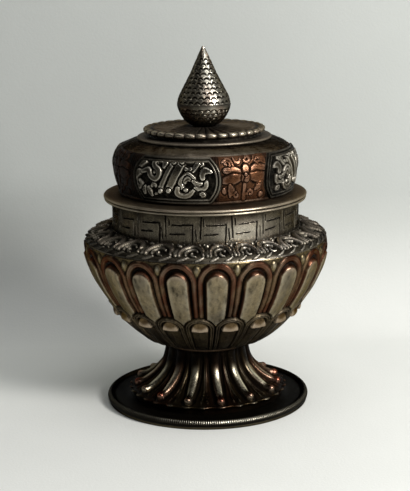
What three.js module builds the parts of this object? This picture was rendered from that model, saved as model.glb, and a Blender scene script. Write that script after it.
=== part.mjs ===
import * as THREE from 'three';

// A lidded offering vessel, raised from silver and copper sheet. Millimetres, +Z up.
// The origin is the middle of the underside, the front faces -Y, and angles run from the front towards +X.

// Sheet, joints and smoothness
const SHEET = 1.2; // thickness of the raised sheet
const SEAM = 0.3; // gap at each soldered or resting joint
const TURN_STEPS = 40; // flats round a plain turned ring

// Base plate and the wire on its edge
const BASE_RADIUS = 42.4;
const BASE_RISE = 1.4; // how far the floor's underside stands above the table
const BASE_HEM = 3.2; // width of the folded edge that it stands on
const BASE_LIP = 1.0; // thickness of the edge below the wire
const WIRE_WIDTH = 2.6;
const WIRE_HEIGHT = 2.4;
const WIRE_OVERHANG = 0.6;
const WIRE_SIDE_SHARE = 0.35; // how much of the wire's height stands upright below its round back

// Fluted foot
const FOOT_HEIGHT = 21.8;
const FOOT_NECK_RADIUS = 16.9;
const FOOT_HEM_RADIUS = 32.4;
const HEM_SHARE = 0.12; // share of the foot's outline that is the upright skirt below the hem's edge
const RIB_COUNT = 16;
const RIB_ANGLE = 6.75; // degrees from the front to the first rib
const RIB_HEIGHT = 2.3; // at the knob near the hem
const RIB_START_HEIGHT = 0.6; // at the top of the foot
const FLUTE_HEIGHT = 0.7; // the thin flute between two ribs
const HEM_SCALLOP = 0.9;

// Collar between the foot and the bowl
const COLLAR_RADIUS = 17.8;
const COLLAR_WIDTH = 2.6;
const COLLAR_HEIGHT = 1.0;

// Bowl with two tiers of petals
const BOWL_HEIGHT = 44.2;
const BOWL_RADIUS = 50.3; // in the grooves between the petals
const BOWL_SEAT_RADIUS = 17.6;
const PETAL_COUNT = 20;
const PETAL_ANGLE = 4.8; // degrees from the front to the first upper petal
const UPPER_TIER_END = 0.985; // shares of the bowl's outline, from the seat to the top edge
const LOWER_TIER_END = 0.575;
const UPPER_ARCH = 8.5; // height of the round head of a petal
const LOWER_ARCH = 6.2;
const BORDER_WIDTH = 2.3;
const BORDER_HEIGHT = 0.9;
const GROOVE_WIDTH = 1.0;
const PANEL_EDGE = 0.9;
const PANEL_HEIGHT = 1.5;
const PANEL_RIDGE = 0.4; // how far an upper panel rises to its middle line
const NUB_START = 3.4; // a lower petal has a nub for a panel: where it starts below the tip,
const NUB_CREST = 7.2; // where it is highest,
const NUB_END = 8.7; // and where it ends
const LOWER_TIER_STEP = 0.8; // how far the lower petals stand over the upper ones

// Shoulder band
const SHOULDER_HEIGHT = 4.4;
const LOOP_COUNT = 24;
const LOOP_ANGLES = [-39.7, -22.8, -6.2, 7.3, 20.1, 32.9, 47.3]; // hand-set at the front, even behind
const LOOP_HEIGHT = 1.3; // the loops of the vine scroll, each a hood with a hollow in it
const LOOP_WIDTH = 8.2; // between the crests of its sides
const LOOP_START = 1.3; // distances up the shoulder: where the sides rise from,
const LOOP_TOP = 10.2; // where the crest of the head is,
const LOOP_HEAD = 5.2; // and how much of that is the round head
const LOOP_RIDGE = 1.2; // from a crest to its foot

// Neck and mouth
const NECK_RADIUS = 38.9;
const NECK_HEIGHT = 11.95;
const MOUTH_RADIUS = 42.0;
const LIP_THICKNESS = 1.1;
const LIP_FALL = 0.18; // how steeply both lips fall outside the neck

// Lid
const LID_FLANGE_RADIUS = 42.3;
const LID_PLAY = 0.35; // radial play of the bezel in the mouth
const BEZEL_DEPTH = 7.0;
const DRUM_FOOT_RADIUS = 35.6;
const DRUM_BELLY = 1.85; // how far the belly stands out past the foot of the drum
const DRUM_TOP_RADIUS = 27.0;
const DRUM_HEIGHT = 21.75;
const PLAQUE_ANGLES = [-19.3, 68.2, 153, 240]; // hand-set, so not quite even
const PLAQUE_SPREAD_ANGLE = 57.8;
const PLAQUE_START_SHARE = 0.02; // shares of the drum's outline, from its foot to its top
const PLAQUE_END_SHARE = 0.69;
const PLAQUE_ROUND_SHARE = 0.3; // how far its ends are drawn in at the corners, as a share of half the width
const PLAQUE_THICKNESS = 0.6;
const PLAQUE_FRAME_HEIGHT = 0.5;
const PLAQUE_FRAME_WIDTH = 1.3;

// Step plate and rosette
const STEP_RADIUS = 27.8;
const STEP_THICKNESS = 0.9;
const ROSETTE_RADIUS = 25.2;
const ROSETTE_HEIGHT = 3.3;
const ROSETTE_LOBES = 34;
const ROSETTE_ANGLE = -3.4; // from the front to the first lobe
const LOBE_DEPTH = 0.8;
const ROSETTE_UNDERCUT = 1.6; // how far its side stands in below the lobes

// Finial and the rivet that holds it
const FINIAL_RADIUS = 10.8;
const FINIAL_SEAT_RADIUS = 4.2;
const CUP_HEIGHT = 8.9;
const CONE_HEIGHT = 23.1;
const FINIAL_SHEET = 1.0;
const TIP_RADIUS = 0.8;
const RIVET_RADIUS = 2.0;
const RIVET_HEAD_RADIUS = 3.4;
const RIVET_HEAD_HEIGHT = 1.2;
const WASHER_RADIUS = 5.2;
const WASHER_THICKNESS = 0.9;

// Levels, from the table up
const floorTop = BASE_RISE + SHEET;
const footBottom = floorTop + SEAM;
const footTop = footBottom + FOOT_HEIGHT;
const collarBottom = footTop + SEAM;
const collarTop = collarBottom + COLLAR_HEIGHT;
const bowlBottom = collarTop + SEAM;
const bowlTop = bowlBottom + BOWL_HEIGHT;
const shoulderBottom = bowlTop + SEAM;
const shoulderTop = shoulderBottom + SHOULDER_HEIGHT;
const neckBottom = shoulderTop + SEAM;
const neckTop = neckBottom + NECK_HEIGHT;
const mouthBottom = neckTop + SEAM;
const mouthTop = mouthBottom + LIP_THICKNESS;
const flangeBottom = mouthTop + SEAM;
const flangeTop = flangeBottom + LIP_THICKNESS;
const drumBottom = flangeTop + SEAM;
const drumTop = drumBottom + DRUM_HEIGHT;
const stepBottom = drumTop + SEAM;
const stepTop = stepBottom + STEP_THICKNESS;
const rosetteBottom = stepTop + SEAM;
const rosetteTop = rosetteBottom + ROSETTE_HEIGHT;
const cupBottom = rosetteTop + SEAM;
const cupTop = cupBottom + CUP_HEIGHT;
const coneBottom = cupTop + SEAM;
const coneTop = coneBottom + CONE_HEIGHT;

// Radii that follow from their neighbours
const boreRadius = NECK_RADIUS - SHEET;
const bezelRadius = boreRadius - LID_PLAY;
const rivetHoleRadius = RIVET_RADIUS + SEAM;

// Curves and places

const flat = (radius, height) => new THREE.Vector2(radius, height);

// A smooth outline whose points are shares of the way between two corners.
function outline(start, end, shares) {
  const corner = ([across, up]) => flat(
    THREE.MathUtils.lerp(start.x, end.x, across),
    THREE.MathUtils.lerp(start.y, end.y, up),
  );
  return new THREE.SplineCurve(shares.map(corner));
}

// A place on an outline, with its outward direction.
function station(curve, share) {
  const along = curve.getTangentAt(share);
  return { at: curve.getPointAt(share), out: flat(along.y, -along.x) };
}

function moved(place, distance) {
  return place.at.clone().addScaledVector(place.out, distance);
}

const smooth = (value, low, high) => THREE.MathUtils.smoothstep(value, low, high);

const evenTurns = (steps) => Array.from({ length: steps }, (_, step) => step / steps);

function roundTheAxis(point, turn, startAngle = 0) {
  const angle = THREE.MathUtils.degToRad(startAngle) + turn * 2 * Math.PI;
  return new THREE.Vector3(point.x * Math.sin(angle), -point.x * Math.cos(angle), point.y);
}

// Closed skins

// A body from its corners and its faces, each face three corner numbers seen from outside.
function solid(corners, faces) {
  const geometry = new THREE.BufferGeometry().setFromPoints(corners);
  geometry.setIndex(faces);
  geometry.computeVertexNormals();
  return geometry;
}

// Joins rows of points that each run once round the axis. Of two neighbouring rows, one may have fewer
// points than the other. A row of one point lies on the axis and closes that end; without such rows, the
// last row joins the first.
function skin(rows) {
  const starts = [];
  let count = 0;
  for (const row of rows) {
    starts.push(count);
    count += row.length;
  }
  const faces = [];
  const strips = rows[0].length === 1 ? rows.length - 1 : rows.length;
  for (let row = 0; row < strips; row += 1) {
    const next = (row + 1) % rows.length;
    const wide = Math.max(rows[row].length, rows[next].length);
    const corner = (of, step) => starts[of] + (Math.floor((step * rows[of].length) / wide) % rows[of].length);
    for (let step = 0; step < wide; step += 1) {
      const low = corner(row, step);
      const lowNext = corner(row, step + 1);
      const high = corner(next, step);
      const highNext = corner(next, step + 1);
      if (low !== lowNext) faces.push(low, lowNext, highNext);
      if (high !== highNext) faces.push(low, highNext, high);
    }
  }
  return solid(rows.flat(), faces);
}

// A plain turned piece, from a section that closes on itself or runs from the axis to the axis.
function turned(section, steps = TURN_STEPS) {
  const turns = evenTurns(steps);
  return skin(section.map((point) => (
    point.x === 0 ? [roundTheAxis(point, 0)] : turns.map((turn) => roundTheAxis(point, turn))
  )));
}

const rectangle = (inner, outer, bottom, top) => [
  flat(inner, bottom),
  flat(outer, bottom),
  flat(outer, top),
  flat(inner, top),
];

// Base

function basePlate() {
  const wireInner = BASE_RADIUS + WIRE_OVERHANG - WIRE_WIDTH;
  const hemInner = BASE_RADIUS - BASE_HEM;
  return turned([
    flat(0, BASE_RISE),
    flat(hemInner, BASE_RISE),
    flat(hemInner, 0),
    flat(BASE_RADIUS, 0),
    flat(BASE_RADIUS, BASE_LIP),
    flat(wireInner - SEAM, BASE_LIP),
    flat(wireInner - SEAM, floorTop),
    flat(0, floorTop),
  ]);
}

// A half-round wire that lies on the plate's edge.
function baseWire() {
  const outer = BASE_RADIUS + WIRE_OVERHANG;
  const inner = outer - WIRE_WIDTH;
  const bottom = BASE_LIP + SEAM;
  const middle = outer - WIRE_WIDTH / 2;
  const springing = bottom + WIRE_HEIGHT * WIRE_SIDE_SHARE;
  const top = bottom + WIRE_HEIGHT;
  const arch = [0.2, 0.5, 0.8].map((share) => flat(
    middle + (WIRE_WIDTH / 2) * Math.cos(share * Math.PI),
    THREE.MathUtils.lerp(springing, top, Math.sin(share * Math.PI)),
  ));
  const sides = [flat(inner, bottom), flat(outer, bottom), flat(outer, springing)];
  return turned([...sides, ...arch, flat(inner, springing)]);
}

// Foot

const FOOT_SHARES = [
  [0.95, 0], [0.96, 0.09], [1, 0.135], [0.86, 0.19], [0.6, 0.27],
  [0.32, 0.42], [0.13, 0.58], [0.04, 0.75], [0, 0.9], [0, 1],
];
const KNOB_SHARE = 0.24;
const FOOT_ROWS = [0, HEM_SHARE, 0.17, KNOB_SHARE, 0.4, 0.66, 1];
const RIB_TURNS = [0, 0.17, 0.33, 0.5, 0.67, 0.83];
const RIB_SECTION = [1, 0.5, 0, 0, 0, 0.5];
const FLUTE_SECTION = [0, 0, 0, 1, 0, 0];
const SCALLOP_SECTION = [1, 0.5, 0, 1, 0, 0.5];

// The ribs grow towards the hem, end in a knob there, and die out on the hem, whose edge is scalloped
// over an upright skirt.
function footRelief(share, side) {
  if (share === HEM_SHARE) return HEM_SCALLOP * SCALLOP_SECTION[side];
  const started = smooth(share, HEM_SHARE, KNOB_SHARE);
  const rib = THREE.MathUtils.lerp(RIB_HEIGHT, RIB_START_HEIGHT, share) * RIB_SECTION[side];
  const flute = FLUTE_HEIGHT * FLUTE_SECTION[side] * (1 - smooth(share, 0.5, 1));
  return started * (rib + flute);
}

function foot() {
  const curve = outline(flat(FOOT_NECK_RADIUS, footBottom), flat(FOOT_HEM_RADIUS, footTop), FOOT_SHARES);
  const outside = FOOT_ROWS.map((share) => {
    const place = station(curve, share);
    if (share === 1) place.out = flat(1, 0);
    const points = [];
    for (let rib = 0; rib < RIB_COUNT; rib += 1) {
      RIB_TURNS.forEach((turn, side) => {
        points.push(roundTheAxis(moved(place, footRelief(share, side)), (rib + turn) / RIB_COUNT, RIB_ANGLE));
      });
    }
    return points;
  });
  const turns = evenTurns((RIB_COUNT * RIB_TURNS.length) / 2);
  const inside = [1, 0.4, KNOB_SHARE, 0].map((share) => {
    const place = station(curve, share);
    const level = share === 0 || share === 1;
    const point = level ? flat(place.at.x - SHEET, place.at.y) : moved(place, -SHEET);
    return turns.map((turn) => roundTheAxis(point, turn, RIB_ANGLE));
  });
  return skin([...outside, ...inside]);
}

const collarBore = COLLAR_RADIUS - COLLAR_WIDTH;
const footCollar = () => turned(rectangle(collarBore, COLLAR_RADIUS, collarBottom, collarTop));

// Bowl

const BOWL_SHARES = [
  [0, 0], [0.09, 0.02], [0.29, 0.112], [0.475, 0.233], [0.62, 0.36],
  [0.737, 0.482], [0.845, 0.61], [0.94, 0.765], [0.99, 0.9], [1, 1],
];
const LEAST_TURN = 0.04; // keeps the lines apart at the tip of a petal
const LOWER_ROWS = [0.09, 0.26, 0.43, 0.455, 0.51, 0.555];
const UPPER_ROWS = [0.6, 0.72, 0.84, 0.915, 0.942, 0.967];
const bowlCurve = outline(flat(BOWL_SEAT_RADIUS, bowlBottom), flat(BOWL_RADIUS, bowlTop), BOWL_SHARES);
const bowlRun = bowlCurve.getLength();

const TIERS = {
  upper: { end: UPPER_TIER_END, arch: UPPER_ARCH, step: 0, offset: 0 },
  lower: { end: LOWER_TIER_END, arch: LOWER_ARCH, step: LOWER_TIER_STEP, offset: 0.5 },
};

const belowTip = (tier, share) => (tier.end - share) * bowlRun;

// How far up a petal's round head a place is, from 0 at its foot to 1 at its tip.
const headRise = (tier, share) => Math.max(0, 1 - belowTip(tier, share) / tier.arch);

// How far inside a petal's outline a place lies. The outline has straight sides and half an ellipse for a head.
function insidePetal(tier, across, share, halfWidth) {
  return halfWidth * (1 - Math.hypot(across / halfWidth, headRise(tier, share)));
}

// The panel of an upper petal runs the length of the petal and has a ridge down its middle. A lower petal
// has a nub instead.
function panelHeight(tier, across, share, halfWidth) {
  if (tier === TIERS.upper) return PANEL_HEIGHT + PANEL_RIDGE * Math.max(0, 1 - (2 * across) / halfWidth);
  const below = belowTip(tier, share);
  return PANEL_HEIGHT * smooth(below, NUB_START, NUB_CREST) * (1 - smooth(below, NUB_CREST, NUB_END));
}

// A petal is a raised border, a groove inside it, and a raised panel with sloping edges.
function petalRelief(inside, panel) {
  if (inside <= 0) return 0;
  const border = BORDER_HEIGHT * Math.sin(Math.PI * Math.min(1, inside / BORDER_WIDTH));
  const panelStart = BORDER_WIDTH + GROOVE_WIDTH;
  return border + panel * smooth(inside, panelStart, panelStart + PANEL_EDGE);
}

// Turns within one petal's pitch at which a row has points: the petals' middle and seam, and on each side
// the panel's edge, the groove and the border, so that the points follow the petal's outline.
function petalTurns(tier, share, halfWidth) {
  const up = headRise(tier, share);
  const lines = [BORDER_WIDTH + GROOVE_WIDTH + PANEL_EDGE, BORDER_WIDTH + GROOVE_WIDTH / 2, BORDER_WIDTH / 2];
  let least = 0;
  const [panel, groove, border] = lines.map((inside) => {
    const reach = Math.sqrt(Math.max(0, Math.max(0, 1 - inside / halfWidth) ** 2 - up ** 2)) / 2;
    least = Math.max(reach, least + LEAST_TURN);
    return least;
  });
  if (tier === TIERS.upper) return [0, panel, groove, border, 0.5, 1 - border, 1 - groove, 1 - panel];
  return [0, 0.5 - border, 0.5 - groove, 0.5 - panel, 0.5, 0.5 + panel, 0.5 + groove, 0.5 + border];
}

function bowlHeight(turn, share, radius) {
  const halfWidth = (Math.PI * radius) / PETAL_COUNT;
  return Math.max(...Object.values(TIERS).map((tier) => {
    const phase = turn - tier.offset;
    const across = Math.abs(phase - Math.round(phase)) * 2 * halfWidth;
    const inside = insidePetal(tier, across, share, halfWidth);
    const foundation = tier.step * smooth(inside, 0, BORDER_WIDTH / 2);
    return foundation + petalRelief(inside, panelHeight(tier, across, share, halfWidth));
  }));
}

function petalRow(tier, share) {
  const place = station(bowlCurve, share);
  const halfWidth = (Math.PI * place.at.x) / PETAL_COUNT;
  const turns = petalTurns(tier, share, halfWidth);
  const fade = smooth(share, 0, LOWER_ROWS[0]);
  const row = [];
  for (let petal = 0; petal < PETAL_COUNT; petal += 1) {
    for (const turn of turns) {
      const point = moved(place, fade * bowlHeight(turn, share, place.at.x));
      row.push(roundTheAxis(point, (petal + turn) / PETAL_COUNT, PETAL_ANGLE));
    }
  }
  return row;
}

function bowl() {
  const ring = (point) => evenTurns(2 * PETAL_COUNT).map((turn) => roundTheAxis(point, turn, PETAL_ANGLE));
  const insideShares = [0.85, 0.6, 0.3];
  const inside = insideShares.map((share) => ring(moved(station(bowlCurve, share), -SHEET)));
  return skin([
    [roundTheAxis(flat(0, bowlBottom), 0)],
    ring(flat(BOWL_SEAT_RADIUS, bowlBottom)),
    ...LOWER_ROWS.map((share) => petalRow(TIERS.lower, share)),
    ...UPPER_ROWS.map((share) => petalRow(TIERS.upper, share)),
    ring(flat(BOWL_RADIUS, bowlTop)),
    ring(flat(BOWL_RADIUS - SHEET, bowlTop)),
    ...inside,
    ring(flat(BOWL_SEAT_RADIUS, bowlBottom + SHEET)),
    [roundTheAxis(flat(0, bowlBottom + SHEET), 0)],
  ]);
}

// Shoulder: a band that curves in from the bowl's edge to the neck, with a hood for each loop of its scroll

const SHOULDER_SHARES = [[1, 0], [0.95, 0.25], [0.8, 0.5], [0.52, 0.74], [0.25, 0.9], [0, 1]];
const LOOP_ROWS = [0.2, 0.38, 0.56, 0.73, 0.87];
const LEAST_REACH = 0.5; // keeps the lines apart at the head of a hood

// The middle of every loop: those at the front as they are set, the others evenly over the rest of the turn.
function loopAngles() {
  const last = LOOP_ANGLES[LOOP_ANGLES.length - 1];
  const others = LOOP_COUNT - LOOP_ANGLES.length;
  const spacing = (360 + LOOP_ANGLES[0] - last) / (others + 1);
  return [...LOOP_ANGLES, ...Array.from({ length: others }, (_, index) => last + spacing * (index + 1))];
}

function shoulder() {
  const curve = outline(flat(boreRadius, shoulderBottom), flat(BOWL_RADIUS, shoulderTop), SHOULDER_SHARES);
  const run = curve.getLength();
  const angles = loopAngles();
  const gaps = angles.map((angle, index) => (angles[(index + 1) % LOOP_COUNT] - angle + 360) % 360);
  const ring = (point) => angles.flatMap((angle, index) => (
    [0, 0.5].map((part) => roundTheAxis(point, 0, angle + gaps[index] * part))
  ));
  const hoods = (share) => {
    const place = station(curve, share);
    const rise = Math.max(0, 1 - (LOOP_TOP - share * run) / LOOP_HEAD);
    const height = (across) => {
      const fromCrest = (LOOP_WIDTH / 2) * (Math.hypot((2 * across) / LOOP_WIDTH, rise) - 1);
      const started = smooth(share * run, LOOP_START, 2 * LOOP_START);
      return LOOP_HEIGHT * started * (1 - smooth(Math.abs(fromCrest), 0, LOOP_RIDGE));
    };
    const crest = Math.max(LEAST_REACH, (LOOP_WIDTH / 2) * Math.sqrt(Math.max(0, 1 - rise ** 2)));
    return angles.flatMap((angle, index) => {
      const gap = THREE.MathUtils.degToRad(gaps[index]) * place.at.x;
      const side = [0, crest, crest + LOOP_RIDGE, gap / 2];
      return [...side, gap - side[2], gap - side[1]].map((across) => {
        const raised = moved(place, height(Math.min(across, gap - across)));
        return roundTheAxis(raised, 0, angle + (gaps[index] * across) / gap);
      });
    });
  };
  return skin([
    ring(flat(BOWL_RADIUS - SHEET, shoulderBottom)),
    ring(flat(BOWL_RADIUS, shoulderBottom)),
    ...LOOP_ROWS.map(hoods),
    ring(flat(boreRadius, shoulderTop)),
    ring(flat(boreRadius, shoulderTop - SHEET)),
    ring(moved(station(curve, 0.5), -SHEET)),
  ]);
}

// Neck and mouth

const neckCollar = () => turned(rectangle(boreRadius, NECK_RADIUS, neckBottom, neckTop));

// A lip that is level as far as the neck and falls a little outside it.
function lip(inner, outer, bottom) {
  const fall = LIP_FALL * (outer - NECK_RADIUS);
  const top = bottom + LIP_THICKNESS;
  return turned([
    flat(inner, bottom),
    flat(NECK_RADIUS, bottom),
    flat(outer, bottom - fall),
    flat(outer, top - fall),
    flat(NECK_RADIUS, top),
    flat(inner, top),
  ]);
}

const mouthRim = () => lip(boreRadius, MOUTH_RADIUS, mouthBottom);

// Lid

const lidFlange = () => lip(DRUM_FOOT_RADIUS - SHEET, LID_FLANGE_RADIUS, flangeBottom);

const bezelTop = flangeBottom - SEAM;
const lidBezel = () => turned(rectangle(bezelRadius - SHEET, bezelRadius, bezelTop - BEZEL_DEPTH, bezelTop));

const DRUM_SHARES = [
  [0, 0], [0.38, 0.15], [0.74, 0.33], [1, 0.52], [0.82, 0.66], [0.1, 0.8],
  [-0.85, 0.885], [-1.9, 0.94], [-3.1, 0.98], [-(DRUM_FOOT_RADIUS - DRUM_TOP_RADIUS) / DRUM_BELLY, 1],
];
const DRUM_ROWS = [0.15, 0.3, 0.43, 0.54, 0.64, 0.76];
const drumCurve = outline(
  flat(DRUM_FOOT_RADIUS, drumBottom),
  flat(DRUM_FOOT_RADIUS + DRUM_BELLY, drumTop),
  DRUM_SHARES,
);

function lidDrum() {
  const inside = [0.76, 0.45];
  const foot = station(drumCurve, 0).at;
  return turned([
    flat(foot.x - SHEET, foot.y),
    foot,
    ...DRUM_ROWS.map((share) => station(drumCurve, share).at),
    flat(DRUM_TOP_RADIUS, drumTop),
    flat(rivetHoleRadius, drumTop),
    flat(rivetHoleRadius, drumTop - SHEET),
    flat(DRUM_TOP_RADIUS, drumTop - SHEET),
    ...inside.map((share) => moved(station(drumCurve, share), -SHEET)),
  ]);
}

// A curved plaque with round ends and a raised frame, laid on the drum. The outer two lines of points on
// every side are the frame.
function lidPlaque(centre) {
  const frameUp = PLAQUE_FRAME_WIDTH / drumCurve.getLength();
  const halfWidth = (THREE.MathUtils.degToRad(PLAQUE_SPREAD_ANGLE) / 2) * DRUM_FOOT_RADIUS;
  const frameAcross = PLAQUE_FRAME_WIDTH / halfWidth;
  const low = PLAQUE_START_SHARE + frameUp;
  const high = PLAQUE_END_SHARE - frameUp;
  const middleRows = DRUM_ROWS.filter((share) => share > low && share < high);
  const shares = [PLAQUE_START_SHARE, low, ...middleRows, high, PLAQUE_END_SHARE];
  const half = [0.43, 1 - 2 * frameAcross, 1 - frameAcross, 1];
  const sides = [...half.map((side) => -side).reverse(), 0, ...half];
  const place = (share, side, lift) => {
    const climb = THREE.MathUtils.mapLinear(share, PLAQUE_START_SHARE, PLAQUE_END_SHARE, -1, 1);
    const reach = (PLAQUE_SPREAD_ANGLE / 2) * (1 - PLAQUE_ROUND_SHARE * climb ** 2);
    return roundTheAxis(moved(station(drumCurve, share), lift), 0, centre + side * reach);
  };
  const inFrame = (index, count) => index < 2 || index >= count - 2;
  const back = shares.map((share) => sides.map((side) => place(share, side, SEAM)));
  const face = shares.map((share, row) => sides.map((side, column) => {
    const framed = inFrame(row, shares.length) || inFrame(column, sides.length);
    return place(share, side, SEAM + PLAQUE_THICKNESS + (framed ? PLAQUE_FRAME_HEIGHT : 0));
  }));
  return plate(back, face);
}

// A thin plate between a grid of points on its back and a like grid on its face.
function plate(back, face) {
  const wide = face[0].length;
  const onBack = (row, column) => row * wide + column;
  const onFace = (row, column) => (back.length + row) * wide + column;
  const faces = [];
  const quad = (a, b, c, d) => faces.push(a, b, c, a, c, d);
  const top = face.length - 1;
  const right = wide - 1;
  for (let row = 0; row < top; row += 1) {
    for (let column = 0; column < right; column += 1) {
      const corner = [[row, column], [row, column + 1], [row + 1, column + 1], [row + 1, column]];
      quad(...corner.map((at) => onFace(...at)));
      quad(...corner.map((at) => onBack(...at)).reverse());
    }
    quad(onBack(row, 0), onFace(row, 0), onFace(row + 1, 0), onBack(row + 1, 0));
    quad(onFace(row, right), onBack(row, right), onBack(row + 1, right), onFace(row + 1, right));
  }
  for (let column = 0; column < right; column += 1) {
    quad(onBack(0, column), onBack(0, column + 1), onFace(0, column + 1), onFace(0, column));
    quad(onFace(top, column), onFace(top, column + 1), onBack(top, column + 1), onBack(top, column));
  }
  return solid([...back.flat(), ...face.flat()], faces);
}

const stepPlate = () => turned(rectangle(rivetHoleRadius, STEP_RADIUS, stepBottom, stepTop));

// A shallow cap whose rim is a row of round lobes that stand out over its side.
function rosette() {
  const side = ROSETTE_RADIUS - ROSETTE_UNDERCUT;
  const rim = rosetteBottom + ROSETTE_HEIGHT * 0.6;
  const crown = rosetteTop - SHEET * 0.4;
  const plain = (radius, height) => evenTurns(ROSETTE_LOBES).map((turn) => (
    roundTheAxis(flat(radius, height), turn, ROSETTE_ANGLE)
  ));
  const lobed = (radius, height, depth) => evenTurns(ROSETTE_LOBES * 2).map((turn, step) => (
    roundTheAxis(flat(radius - (step % 2) * depth, height), turn, ROSETTE_ANGLE)
  ));
  return skin([
    plain(side - SHEET, rosetteBottom),
    plain(side, rosetteBottom),
    plain(side, rim - LOBE_DEPTH),
    lobed(ROSETTE_RADIUS, rim, LOBE_DEPTH),
    lobed(ROSETTE_RADIUS - SHEET, crown, LOBE_DEPTH),
    plain(FINIAL_SEAT_RADIUS + SHEET, rosetteTop),
    plain(rivetHoleRadius, rosetteTop),
    plain(rivetHoleRadius, rosetteTop - SHEET),
    plain(side - SHEET, crown - SHEET),
  ]);
}

// Finial: a cup and a cone that meet at the widest line, held down by a rivet through the lid

function finialCup() {
  const curve = outline(
    flat(FINIAL_SEAT_RADIUS, cupBottom),
    flat(FINIAL_RADIUS, cupTop),
    [[0, 0], [0.36, 0.14], [0.71, 0.42], [0.93, 0.76], [1, 1]],
  );
  const rows = [0.3, 0.6, 0.85];
  return turned([
    flat(rivetHoleRadius, cupBottom),
    station(curve, 0).at,
    ...rows.map((share) => station(curve, share).at),
    flat(FINIAL_RADIUS, cupTop),
    flat(FINIAL_RADIUS - FINIAL_SHEET, cupTop),
    ...rows.slice().reverse().map((share) => moved(station(curve, share), -FINIAL_SHEET)),
    flat(FINIAL_SEAT_RADIUS, cupBottom + FINIAL_SHEET),
    flat(rivetHoleRadius, cupBottom + FINIAL_SHEET),
  ], TURN_STEPS / 2);
}

function finialCone() {
  const curve = outline(
    flat(TIP_RADIUS, coneBottom),
    flat(FINIAL_RADIUS, coneTop),
    [[1, 0], [0.93, 0.13], [0.72, 0.31], [0.43, 0.56], [0.18, 0.8], [0, 0.97]],
  );
  const rows = [0.15, 0.32, 0.55, 0.78];
  return turned([
    flat(FINIAL_RADIUS - FINIAL_SHEET, coneBottom),
    flat(FINIAL_RADIUS, coneBottom),
    ...rows.map((share) => station(curve, share).at),
    station(curve, 1).at,
    flat(0, coneTop),
    flat(0, coneTop - 3 * FINIAL_SHEET),
    ...rows.slice(0, 3).reverse().map((share) => moved(station(curve, share), -FINIAL_SHEET)),
  ], TURN_STEPS / 2);
}

const washerTop = drumTop - SHEET - SEAM;
const washerBottom = washerTop - WASHER_THICKNESS;
const washerSection = rectangle(rivetHoleRadius, WASHER_RADIUS, washerBottom, washerTop);
const finialWasher = () => turned(washerSection, TURN_STEPS / 2);

// A rivet with a head inside the cup and its lower end spread under the washer.
function finialRivet() {
  const headBottom = cupBottom + FINIAL_SHEET + SEAM;
  const spreadTop = washerBottom - SEAM;
  return turned([
    flat(0, spreadTop - RIVET_HEAD_HEIGHT),
    flat(RIVET_HEAD_RADIUS * 0.7, spreadTop - RIVET_HEAD_HEIGHT),
    flat(RIVET_HEAD_RADIUS, spreadTop),
    flat(RIVET_RADIUS, spreadTop),
    flat(RIVET_RADIUS, headBottom),
    flat(RIVET_HEAD_RADIUS, headBottom),
    flat(RIVET_HEAD_RADIUS * 0.7, headBottom + RIVET_HEAD_HEIGHT),
    flat(0, headBottom + RIVET_HEAD_HEIGHT),
  ], TURN_STEPS / 2);
}

// Metals

const metal = (color, roughness) => new THREE.MeshStandardMaterial({ color, roughness, metalness: 1 });
const DARK_BRONZE = metal(0x2a2420, 0.5);
const WORN_WIRE = metal(0x6f665a, 0.4);
const DARK_COPPER = metal(0x6b3a26, 0.35);
const BRIGHT_COPPER = metal(0xa85f35, 0.32);
const WARM_SILVER = metal(0x8a8068, 0.38);
const DARK_SILVER = metal(0x5c564c, 0.42);
const WORN_SILVER = metal(0x9a9280, 0.35);

// Assembly

const vessel = new THREE.Group();

function add(name, geometry, material) {
  const mesh = new THREE.Mesh(geometry, material);
  mesh.name = name;
  vessel.add(mesh);
}

add('base_plate', basePlate(), DARK_BRONZE);
add('base_wire', baseWire(), WORN_WIRE);
add('foot', foot(), DARK_COPPER);
add('foot_collar', footCollar(), DARK_BRONZE);
add('bowl', bowl(), WARM_SILVER);
add('shoulder', shoulder(), DARK_SILVER);
add('neck_collar', neckCollar(), WORN_SILVER);
add('mouth_rim', mouthRim(), WORN_SILVER);
add('lid_flange', lidFlange(), WORN_SILVER);
add('lid_bezel', lidBezel(), DARK_SILVER);
add('lid_drum', lidDrum(), BRIGHT_COPPER);
PLAQUE_ANGLES.forEach((angle, index) => add(`lid_plaque_${index + 1}`, lidPlaque(angle), WORN_SILVER));
add('lid_step_plate', stepPlate(), DARK_SILVER);
add('lid_rosette', rosette(), DARK_SILVER);
add('finial_cup', finialCup(), DARK_SILVER);
add('finial_cone', finialCone(), WORN_SILVER);
add('finial_rivet', finialRivet(), DARK_BRONZE);
add('finial_washer', finialWasher(), DARK_BRONZE);

export default vessel;
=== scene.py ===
"""Looks of the offering vessel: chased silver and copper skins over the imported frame, light, floor and camera."""
import math

import bpy
import numpy as np
from mathutils import Matrix, Vector


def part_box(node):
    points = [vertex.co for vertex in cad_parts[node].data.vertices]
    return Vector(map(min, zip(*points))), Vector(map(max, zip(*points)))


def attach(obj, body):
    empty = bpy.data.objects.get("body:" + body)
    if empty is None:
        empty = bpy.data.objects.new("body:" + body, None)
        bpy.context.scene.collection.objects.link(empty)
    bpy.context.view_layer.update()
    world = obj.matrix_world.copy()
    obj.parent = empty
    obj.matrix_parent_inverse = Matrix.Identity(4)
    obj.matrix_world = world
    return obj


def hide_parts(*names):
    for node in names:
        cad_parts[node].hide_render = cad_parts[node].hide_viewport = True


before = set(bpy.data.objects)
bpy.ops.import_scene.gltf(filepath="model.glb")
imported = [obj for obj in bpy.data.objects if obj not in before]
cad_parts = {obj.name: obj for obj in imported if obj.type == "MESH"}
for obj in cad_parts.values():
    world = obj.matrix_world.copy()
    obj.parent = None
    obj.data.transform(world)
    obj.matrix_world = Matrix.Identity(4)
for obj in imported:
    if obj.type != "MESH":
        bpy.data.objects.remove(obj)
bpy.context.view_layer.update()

MM = 0.001
TAU = 2 * math.pi

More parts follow.
